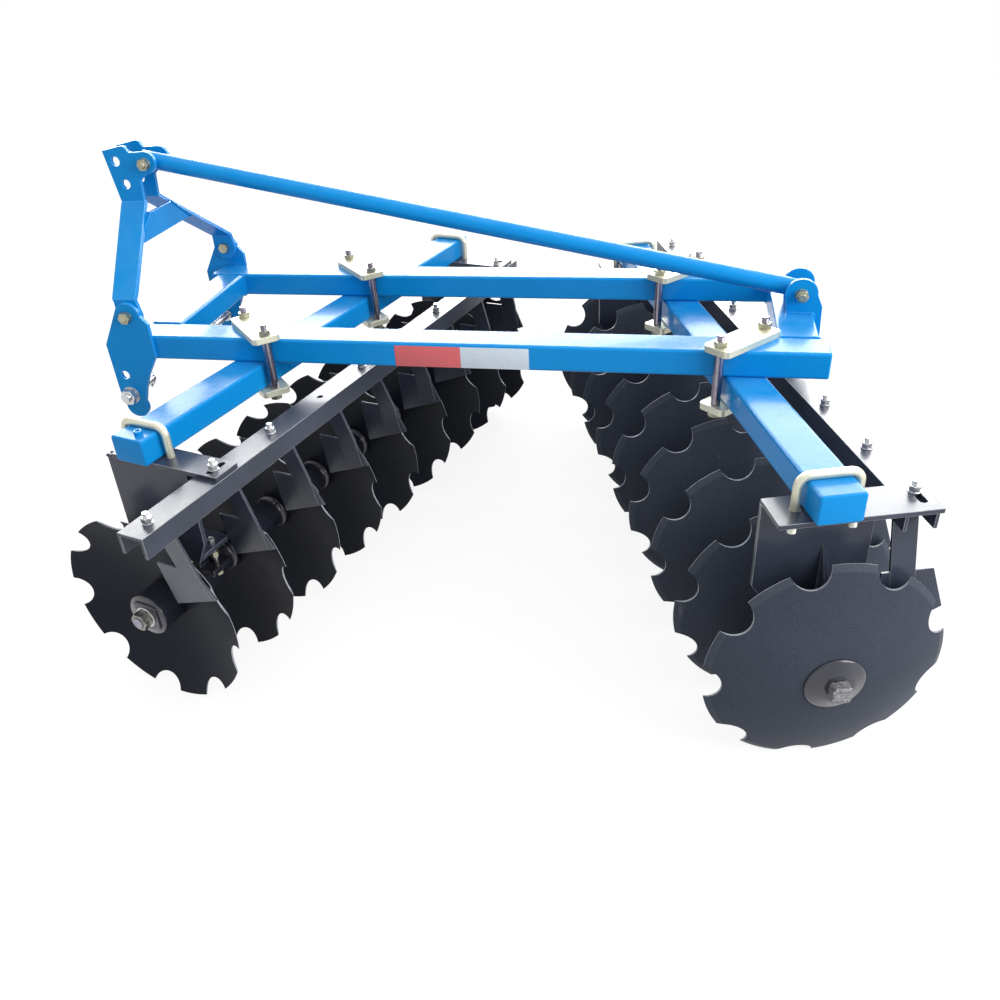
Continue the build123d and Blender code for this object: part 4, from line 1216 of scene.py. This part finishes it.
def hanger_weld_lines():
    """Lines of the welds along the hangers' plates, at their top and, on the open side, at their foot."""
    lines = []
    beside, top, foot = 7.0, PLATE_BOTTOM - 1, 408.0
    for gang in GANGS:
        place = gang_place(gang)
        from_bearing = gang.hanger_from_bearing
        for index in BEARING_GAPS:
            middle = sum(spool_span(gang, index)) / 2 + from_bearing
            for side in (1, -1):
                y = middle + side * beside
                lines.append([place @ Vector((x, y, top)) for x in (-138.0, 118.0)])
                if (side > 0) != (from_bearing > 0):
                    lines.append([place @ Vector((gang.axle_x + x, y, foot)) for x in (-100.0, 100.0)])
    return lines


def make_scrapers(settings):
    """Scrapers and the bolts that hold them to the channels."""
    colours, sizes = settings.colours, settings.sizes
    # edges, the finish of the bevels, is light grey: edge wear and a painted highlight along the edges
    black, edges = black_paint(colours), black_edge_wear_and_painted_highlight()
    places = []
    for gang in GANGS:
        crisp(gang.name + "_scrapers_fine", "frame", "black_paint", black, edges, sizes.edge / 2,
              gang.name + "_scrapers")
        for index, from_rim in enumerate(gang.scraper_bolts):
            top = GANG_BOTTOM if index in gang.on_plates else PLATE_BOTTOM
            if index not in gang.no_bolt:
                y = along_gang(gang, index) + gang.facing * from_rim
                places.append(gang_place(gang) @ upright(gang.channel_x, y, top))
    bolts = copied("scraper_bolts", drawn(
        (add_washer, 13.6, 8.5, 0, 2.5),
        (add_nut, 22.5, 2.5, 13.5, 7.7),
        (add_rod, 8.0, -30.0, 27.0, [(2, 27)], 2.0),
        (add_head, 24.0, -28.5, -9.5),
    ), places, white_zinc(colours))
    settle(bolts, "frame", "bright_steel")


def make_bearings(settings):
    """Cast bearing housings, their covers, bolts and grease nipples."""
    colours, sizes = settings.colours, settings.sizes
    cast, olive, white = cast_paint(colours), olive_zinc(), white_zinc(colours)
    bolt_across, flange_top = 80.0, 338.0
    nipple_across, nipple_along, nipple_foot = -32.0, 39.0, 356.0
    bolt_places, nipple_places, cover_places = [], [], []
    for gang in GANGS:
        crisp(gang.name + "_bearings_fine", "frame", "black_cast_iron", cast, cast, sizes.cast_edge,
              gang.name + "_bearings", segments=3)
        place = gang_place(gang)
        for index in BEARING_GAPS:
            y = sum(spool_span(gang, index)) / 2
            for side in (1, -1):
                bolt_places.append(place @ upright(gang.axle_x + side * bolt_across, y, flange_top))
                cover_places.append(axle_place(gang, y) @ half_turn(side < 0))
            nipple_places.append(place @ upright(gang.axle_x + nipple_across, y + nipple_along, nipple_foot))
    shanks = drawn((add_head, 18.0, 69.0, 10.0), (add_rod, 6.5, -40.0, 70.0, [(-40, -20)], 2.0, 24))
    nuts = drawn((add_nut, 22.0, 22.0, 17.0, 6.3), (add_nut, 24.0, -35.0, 13.0, 6.3))
    bolts = joined("bearing_bolts_fine", [
        copied("bearing_bolt_shanks", shanks, bolt_places, white),
        copied("bearing_bolt_nuts", nuts, bolt_places, olive),
    ])
    settle(bolts, "frame", "bright_steel", "bearing_bolts")
    cover_profile = [
        (31.5, 37.5), (58, 37.5), (58, 40), (56, 42), (50, 42.6), (48, 41), (44, 41), (42, 42.6), (36, 42.6),
        (33, 42), (31.5, 41),
    ]
    covers = copied("bearing_covers", drawn((turned, cover_profile, 64, True)), cover_places, cast)
    settle(covers, "frame", "black_cast_iron")
    stem_profile = [
        (0, 12), (3.2, 12), (3.2, 20), (2.4, 22), (2.2, 32), (3.6, 34), (5.4, 36.5), (5.6, 40), (4, 42.6),
        (0, 43),
    ]
    nipples = joined("grease_nipples", [
        copied("nipple_bodies", drawn((add_head, 13.0, 0, 16.0)), nipple_places, olive),
        copied("nipple_stems", drawn((turned, stem_profile, 24)), nipple_places, white),
    ])
    settle(nipples, "frame", "bright_steel")


def disc_outline():
    """Radii and angles round the rim and through the notches, with teeth centred on angle 0."""
    points = []
    step = 2 * pi / NOTCHES
    rim_steps, arc_steps = 8, 12
    cut = (DISC_RADIUS ** 2 + NOTCH_CIRCLE ** 2 - NOTCH_RADIUS ** 2) / (2 * DISC_RADIUS * NOTCH_CIRCLE)
    half_notch = sqrt(max(0.0, 1 - cut * cut))
    half_notch = half_notch + half_notch ** 3 / 6
    for tooth in range(NOTCHES):
        middle = tooth * step
        half_tooth = step / 2 - half_notch
        for i in range(rim_steps + 1):
            points.append((DISC_RADIUS, middle - half_tooth + 2 * half_tooth * i / rim_steps))
        centre = middle + step / 2
        cx, cz = NOTCH_CIRCLE * cos(centre), NOTCH_CIRCLE * sin(centre)
        start = centre - half_notch
        corner = Vector((DISC_RADIUS * cos(start) - cx, DISC_RADIUS * sin(start) - cz))
        inwards = Vector((-cx, -cz))
        half_arc = corner.angle(inwards)
        for i in range(1, arc_steps):
            swing = -half_arc + 2 * half_arc * i / arc_steps
            direction = inwards.normalized()
            x = direction.x * cos(-swing) - direction.y * sin(-swing)
            z = direction.x * sin(-swing) + direction.y * cos(-swing)
            px, pz = cx + NOTCH_RADIUS * x, cz + NOTCH_RADIUS * z
            points.append((hypot(px, pz), Vector((px, pz)).angle_signed(Vector((1, 0)))))
    return points


def disc_drawing():
    """One disc with its rim in the plane Y = 0 and its hollow side towards +Y."""
    outline = disc_outline()
    bm = bmesh.new()
    # thin inset of the bevel's ring from the notches, and the play of the square hole on its axle
    inset, play = 0.4, 0.5

    def back(radius):
        if radius <= BEVEL_START:
            return -dish(radius, DISC_THICKNESS)
        share = (radius - BEVEL_START) / (DISC_RADIUS - BEVEL_START)
        return -dish(BEVEL_START, DISC_THICKNESS) * (1 - share) - BEVEL_EDGE * share

    def ring(radius_at, height_at):
        made = []
        for rim, angle in outline:
            radius = radius_at(rim, angle)
            made.append(Vector((radius * cos(angle), height_at(radius), radius * sin(angle))))
        return made

    def square(rim, angle):
        return (AXLE_SQUARE / 2 + play) / max(abs(cos(angle)), abs(sin(angle)))

    def part(share):
        return lambda rim, angle: DISC_FLAT + (rim - DISC_FLAT) * share

    def bevel(rim, angle):
        return min(BEVEL_START, rim - inset)

    def face(radius):
        return -dish(max(radius, DISC_FLAT))

    def rear(radius):
        return -dish(DISC_FLAT, DISC_THICKNESS) if radius < DISC_FLAT else back(radius)

    shares = (0.0, 0.15, 0.32, 0.50, 0.67, 0.82, 0.92)
    rings = [ring(square, face)] + [ring(part(share), face) for share in shares]
    rings.append(ring(bevel, face))
    rings.append(ring(lambda rim, angle: rim, face))
    rings.append(ring(lambda rim, angle: rim, rear))
    rings.append(ring(bevel, rear))
    rings += [ring(part(share), rear) for share in reversed(shares)]
    rings.append(ring(square, rear))
    rings.append(rings[0])
    skin(bm, rings, close=False)
    bmesh.ops.remove_doubles(bm, verts=bm.verts[:], dist=MERGE)
    bare, faintly_bare, edge_slope = 1.0, 0.05, 0.35
    ground = bm.faces.layers.float.new("ground")
    # domed marks the faces of the domed side, which the disc paint makes lighter with a painted shade for its
    # light
    domed = bm.faces.layers.float.new("domed")
    for each in bm.faces:
        each[domed] = 1.0 if each.normal.y < 0 else 0.0
        centre = each.calc_center_median()
        radius = hypot(centre.x, centre.z)
        on_edge = abs(each.normal.y) < edge_slope
        on_bevel = radius > BEVEL_START and centre.y < -0.5 * BEVEL_EDGE - dish(radius)
        each[ground] = 0.0 if radius < DISC_FLAT else bare if on_edge else faintly_bare if on_bevel else 0.0
    return bm


def disc_place(gang, index):
    """Puts a drawn disc on its axle, with the hollow side and the teeth as the gang's table says."""
    there = axle_place(gang, along_gang(gang, index), gang.facing < 0)
    return there @ Matrix.Rotation(-gang.facing * radians(PHASES[index]), 4, "Y")


def make_discs(settings):
    """Notched dished discs, nine on each gang."""
    finish = disc_paint(settings.colours)
    for gang in GANGS:
        places = [disc_place(gang, index) for index in range(DISC_COUNT)]
        bm = disc_drawing()
        bm.normal_update()
        discs = copied(gang.name + "_discs", bm, places, finish, 30)
        names = [f"{gang.name}_disc_{index + 1}" for index in range(DISC_COUNT)]
        settle(discs, gang.name + "_gang", "disc_steel", *names)


def spool_profile(length, journal):
    """Radii along a cast spool from its wide flange at 0 to its face flange."""
    wide = [(17, 0), (57, 0), (59.4, 1.2), (60, 4), (59.6, 9), (57.5, 13), (54, 14.6), (51, 14.8), (49.6, 16),
            (49.2, 19), (47, 22.5), (44.5, 26)]
    narrow = [(44.5, -22), (46.5, -19), (48.0, -16), (50.6, -14.4), (53, -12), (54, -8), (53.6, -2.5),
              (51.5, 0), (17, 0)]
    middle = [(44, 40), (43.2, length / 2), (44, length - 40)]
    if journal:
        half = 43.0
        rising = [(44, -half), (42.5, 1 - half), (30, 1 - half), (30, half - 1), (42.5, half - 1), (44, half)]
        middle = [(radius, length / 2 + along) for radius, along in rising]
    return wide + middle + [(radius, length + along) for radius, along in narrow]


def make_spools(settings):
    """Cast spools between the discs and at the gangs' hollow ends."""
    cast = cast_paint(settings.colours)
    sides = settings.sizes.turn_sides
    end_profile = [
        (17, 0), (57, 0), (58, 1), (58.6, 30), (59.4, 62), (60, 76), (59.2, 79), (57.5, 80), (17, 80),
    ]
    for gang in GANGS:
        plain, journalled = [], []
        for index in range(DISC_COUNT - 1):
            low, high = spool_span(gang, index)
            there = axle_place(gang, high if gang.facing > 0 else low, gang.facing > 0)
            (journalled if index in BEARING_GAPS else plain).append(there)
        length = high - low
        made = []
        for name, places, journal in (("plain", plain, False), ("journal", journalled, True)):
            drawing = drawn((turned, spool_profile(length, journal), sides, True))
            made.append(copied(f"{gang.name}_{name}_spools", drawing, places, cast, 50))
        there = axle_place(gang, hollow_end(gang), gang.facing < 0)
        drawing = drawn((turned, end_profile, sides, True))
        made.append(copied(f"{gang.name}_end_spool", drawing, [there], cast, 50))
        settle(joined(gang.name + "_spools_fine", made), gang.name + "_gang", "black_cast_iron",
               gang.name + "_spools")


def square_plate(bm, half, corner, start, thickness):
    """Plate with rounded corners across Y, its edges broken."""
    soft = 1.0
    rings = []
    for along, inset in ((0, soft), (soft, 0), (thickness - soft, 0), (thickness, soft)):
        side = 2 * (half - inset)
        rings.append([Vector((x, start + along, z)) for x, z in rounded_rectangle(side, side, corner)])
    skin(bm, rings)


def make_axle_ends(settings):
    """Nuts, washers, threads and square heads at the ends of the axles."""
    colours, sides = settings.colours, settings.sizes.turn_sides
    cast = cast_paint(colours)
    flange_profile = [(15.5, 86), (29, 86), (30, 86.8), (30, 89), (29, 90), (15.5, 90)]
    dome_profile = [
        (17, 0), (68.4, 0), (69.6, -0.8), (70, -2.2), (69.2, -4.0), (64.5, -6.2), (58, -8.6), (50, -11.8),
        (43, -14.8), (38, -16.6), (34, -17), (17, -17),
    ]
    for gang in GANGS:
        body = gang.name + "_gang"
        hollow, domed = hollow_end(gang), domed_end(gang)
        hollow_place = axle_place(gang, hollow, gang.facing < 0)
        domed_place = axle_place(gang, domed, gang.facing < 0)
        length = abs(hollow - domed)
        thread_end = length + 117.0

        def ended(kind, place, finish, step, angle=38.0):
            return copied(f"{gang.name}_{kind}", drawn(step), [place], finish, angle)

        spare = joined(gang.name + "_axle_nut_fine", [
            ended("flange_washer", hollow_place, white_zinc(colours), (turned, flange_profile, sides, True)),
            ended("big_nut", hollow_place, dark_nut(), (add_nut, 46.0, 90.0, 24.0, 15.5)),
        ])
        settle(spare, body, "yellow_zinc", gang.name + "_axle_nut")
        washers = joined(gang.name + "_end_washers_fine", [
            ended("square_washer", hollow_place, cast, (square_plate, 40.0, 16.0, 80.0, 6.0)),
            ended("domed_washer", domed_place, cast, (turned, dome_profile, 96, True), 50),
        ])
        settle(washers, body, "black_cast_iron", gang.name + "_end_washers")
        axle = joined(gang.name + "_axle_fine", [
            ended("axle_head", domed_place, rough_steel(), (square_plate, 22.0, 8.0, -17.0 - 25.0, 25.0)),
            ended("axle_core", domed_place, cast, (square_plate, AXLE_SQUARE / 2, 1.5, -20.0, length + 98.0)),
            ended("axle_thread", domed_place, drawn_steel(colours),
                  (add_rod, 15.0, length + 70.0, thread_end, [(length + 86.0, thread_end)], 3.0, 40)),
        ])
        settle(axle, body, "black_cast_iron", gang.name + "_axle")


def make_tape(settings):
    """Reflecting tape on the outside of the left beam, one half red and one half pale."""
    colours = settings.colours
    for name, low, high, finish in (
        ("red_tape", -20.0, 160.0, tape_finish("Red tape", colours.tape_red)),
        ("white_tape", -203.0, -20.2, tape_finish("White tape", colours.tape_white)),
    ):
        bm = bmesh.new()
        soft, height, middle = 2.0, 59.0, 791.5
        rings = []
        for y, inset in ((PLATE_INNER - 0.2, 0.0), (PLATE_INNER + 0.35, 0.0), (PLATE_INNER + 0.5, 0.25)):
            ring = rounded_rectangle(high - low - 2 * inset, height - 2 * inset, soft)
            rings.append([Vector(((low + high) / 2 + a, y, middle + b)) for a, b in ring])
        skin(bm, rings)
        mesh = new_mesh(name, bm)
        mesh.transform(MACHINE)
        mesh.materials.append(finish)
        shade(mesh)
        settle(object_from(name, mesh), "frame", "blue_paint")


# Stage

def make_stage(settings):
    """Floor, light and the photograph's camera."""
    bpy.context.scene.view_settings.view_transform = "Standard"
    make_floor(settings.stage)
    make_world(settings.stage)
    make_lamps(settings.stage)
    make_camera()


def seen_rays(tree):
    """1 for rays from the camera, in gloss and through glass, else 0."""
    path = node(tree, "ShaderNodeLightPath")
    either = node(tree, "ShaderNodeMath", operation="MAXIMUM")
    any_of = node(tree, "ShaderNodeMath", operation="MAXIMUM")
    join(
        tree,
        (path, "Is Camera Ray", either, 0), (path, "Is Glossy Ray", either, 1),
        (either, 0, any_of, 0), (path, "Is Transmission Ray", any_of, 1),
    )
    return any_of


def make_floor(stage):
    """A large plain floor. Where it is seen, it is nearly white by itself and its shadows are faint."""
    bm = bmesh.new()
    bmesh.ops.create_grid(bm, x_segments=8, y_segments=8, size=30.0)
    floor_mesh = bpy.data.meshes.new("floor")
    bm.to_mesh(floor_mesh)
    bm.free()
    floor = object_from("floor", floor_mesh)
    material, tree, bsdf = new_material("Floor")
    out = tree.nodes["Material Output"]
    place = node(tree, "ShaderNodeTexCoord")
    grain = node(tree, "ShaderNodeTexNoise", {"Scale": 3.0, "Detail": 6.0})
    tone = node(tree, "ShaderNodeMapRange", {"To Min": 0.96, "To Max": 1.02})
    colour = node(tree, "ShaderNodeVectorMath", operation="SCALE")
    rays = seen_rays(tree)
    share = node(tree, "ShaderNodeMix", data_type="RGBA")
    share.inputs[MIX_A].default_value = rgba(stage.floor)
    share.inputs[MIX_B].default_value = rgba(shades(stage.floor, FLOOR_RETURN))
    glow = node(tree, "ShaderNodeEmission", {"Color": (1, 1, 1, 1)})
    seen = node(tree, "ShaderNodeMath", operation="MULTIPLY")
    seen.inputs[1].default_value = FLOOR_GLOW
    both = node(tree, "ShaderNodeAddShader")
    join(
        tree,
        (place, "Object", grain, "Vector"), (grain, 0, tone, "Value"), (tone, 0, colour, "Scale"),
        (rays, 0, share, 0), (share, MIX_RESULT, colour, 0), (colour, 0, bsdf, "Base Color"),
        (rays, 0, seen, 0), (seen, 0, glow, "Strength"),
        (bsdf, 0, both, 0), (glow, 0, both, 1), (both, 0, out, "Surface"),
    )
    bsdf.inputs["Roughness"].default_value = 0.9
    bsdf.inputs["Specular IOR Level"].default_value = 0.1
    floor_mesh.materials.append(material)


def make_world(stage):
    """Even light from all round, in front of a white background."""
    world = bpy.data.worlds.new("Studio")
    bpy.context.scene.world = world
    world.use_nodes = True
    tree = world.node_tree
    out = tree.nodes["World Output"]
    lit = tree.nodes["Background"]
    lit.inputs["Color"].default_value = (0.96, 0.98, 1.0, 1.0)
    lit.inputs["Strength"].default_value = stage.sky
    white = node(tree, "ShaderNodeBackground", {"Color": (1, 1, 1, 1), "Strength": 1.0})
    rays = seen_rays(tree)
    mix = node(tree, "ShaderNodeMixShader")
    join(
        tree,
        (rays, 0, mix, 0), (lit, 0, mix, 1), (white, 0, mix, 2), (mix, 0, out, "Surface"),
    )


def make_lamps(stage):
    """Large soft lamps, each with its place, what it points at, its size in metres and its strength."""
    for name, place, aim, size, power, gloss_only in (
        ("Side lamp", (-4.4, 1.8, 2.7), (0, 0, 0.4), (3.2, 3.2), stage.key, False),
        ("Far lamp", (0.8, -5.6, 3.3), (0, 0, 0.8), (11.0, 4.2), stage.far, True),
        ("Top lamp", (-0.5, -3.0, 6.0), (0, 0, 0.9), (7.0, 2.5), stage.top, True),
        ("Roof lamp", (0, 0.6, 5.6), (0, 0, 0), (5.0, 4.0), stage.roof, False),
    ):
        data = bpy.data.lights.new(name, "AREA")
        data.shape = "RECTANGLE"
        data.size, data.size_y = size
        data.energy = power
        lamp = object_from(name, data)
        lamp.location = place
        lamp.rotation_euler = (Vector(aim) - Vector(place)).to_track_quat("-Z", "Y").to_euler()
        lamp.visible_diffuse = not gloss_only


def make_camera():
    """The photograph's camera."""
    data = bpy.data.cameras.new("Camera")
    data.sensor_width = 36.0
    data.lens = CAMERA_LENS
    data.shift_x, data.shift_y = CAMERA_SHIFT
    data.clip_end = 60.0
    camera = object_from("Camera", data)
    pitch, yaw, roll = radians(CAMERA_PITCH), radians(CAMERA_YAW), radians(CAMERA_ROLL)
    turn = Matrix.Rotation(yaw, 3, "Z")
    way = turn @ Vector((0, -cos(pitch), -sin(pitch)))
    right = turn @ Vector((-1, 0, 0))
    up = turn @ Vector((0, -sin(pitch), cos(pitch)))
    right, up = cos(roll) * right + sin(roll) * up, cos(roll) * up - sin(roll) * right
    axes = Matrix((right, up, -way)).transposed()
    camera.matrix_world = Matrix.Translation(MACHINE @ Vector(CAMERA_PLACE)) @ axes.to_4x4()
    bpy.context.scene.camera = camera


# Operators, panel and registration

def operator(name, label, text, work):
    """An operator that makes one group of pieces."""
    def execute(self, context):
        work(context.scene.harrow)
        return {"FINISHED"}

    body = {"bl_idname": "harrow." + name, "bl_label": label, "bl_options": {"REGISTER"}, "__doc__": text,
            "execute": execute}
    return type("HARROW_OT_" + name, (bpy.types.Operator,), body)


class HarrowSettings(bpy.types.PropertyGroup):
    """All settings of the harrow"""

    sizes: PointerProperty(type=HarrowSizes, name="Sizes", description="Sizes of the small detail")
    colours: PointerProperty(type=HarrowColours, name="Colours", description="Colours of the surfaces")
    stage: PointerProperty(type=HarrowStage, name="Stage", description="Light and floor")


OPERATORS = (
    operator("stage", "Stage", "Makes the floor, the lamps and the camera", make_stage),
    operator("tubes", "Tubes", "Paints the tubes and makes their caps and welds", make_tubes),
    operator("mast", "Mast and hitch", "Makes the mast, hitch plates and bracket", make_mast),
    operator("frame_bolts", "Frame bolts", "Makes the bolts of the mast and brace, and the lower pins",
             make_frame_bolts),
    operator("clamps", "Clamps", "Makes the clamp plates, rods and nuts", make_clamps),
    operator("gang_frames", "Gang frames", "Makes the U-bolts, cross plates, channels and hangers",
             make_gang_frames),
    operator("scrapers", "Scrapers", "Makes the scrapers and their bolts", make_scrapers),
    operator("bearings", "Bearings", "Makes the bearing housings, bolts and grease nipples", make_bearings),
    operator("discs", "Discs", "Makes the notched discs", make_discs),
    operator("spools", "Spools", "Makes the cast spools", make_spools),
    operator("axle_ends", "Axle ends", "Makes the nuts, washers and heads of the axles", make_axle_ends),
    operator("tape", "Tape", "Makes the reflecting tape", make_tape),
)


class HARROW_PT_panel(bpy.types.Panel):
    """Lists the harrow's operators and settings"""

    bl_idname = "HARROW_PT_panel"
    bl_label = "Disc Harrow"
    bl_space_type = "VIEW_3D"
    bl_region_type = "UI"
    bl_category = "Harrow"

    def draw(self, context):
        settings = context.scene.harrow
        for each in OPERATORS:
            self.layout.operator(each.bl_idname)
        for part in (settings.sizes, settings.colours, settings.stage):
            box = self.layout.box()
            for key in part.__annotations__:
                box.prop(part, key)


CLASSES = (HarrowSizes, HarrowColours, HarrowStage, HarrowSettings, *OPERATORS, HARROW_PT_panel)


def register():
    for each in CLASSES:
        bpy.utils.register_class(each)
    bpy.types.Scene.harrow = PointerProperty(type=HarrowSettings)


def unregister():
    del bpy.types.Scene.harrow
    for each in reversed(CLASSES):
        bpy.utils.unregister_class(each)


def main():
    """Registers the classes, makes every group of pieces and notes both boxes."""
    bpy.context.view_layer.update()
    register()
    for each in OPERATORS:
        getattr(bpy.ops.harrow, each.bl_idname.split(".")[1])()


if __name__ == "__main__":
    main()
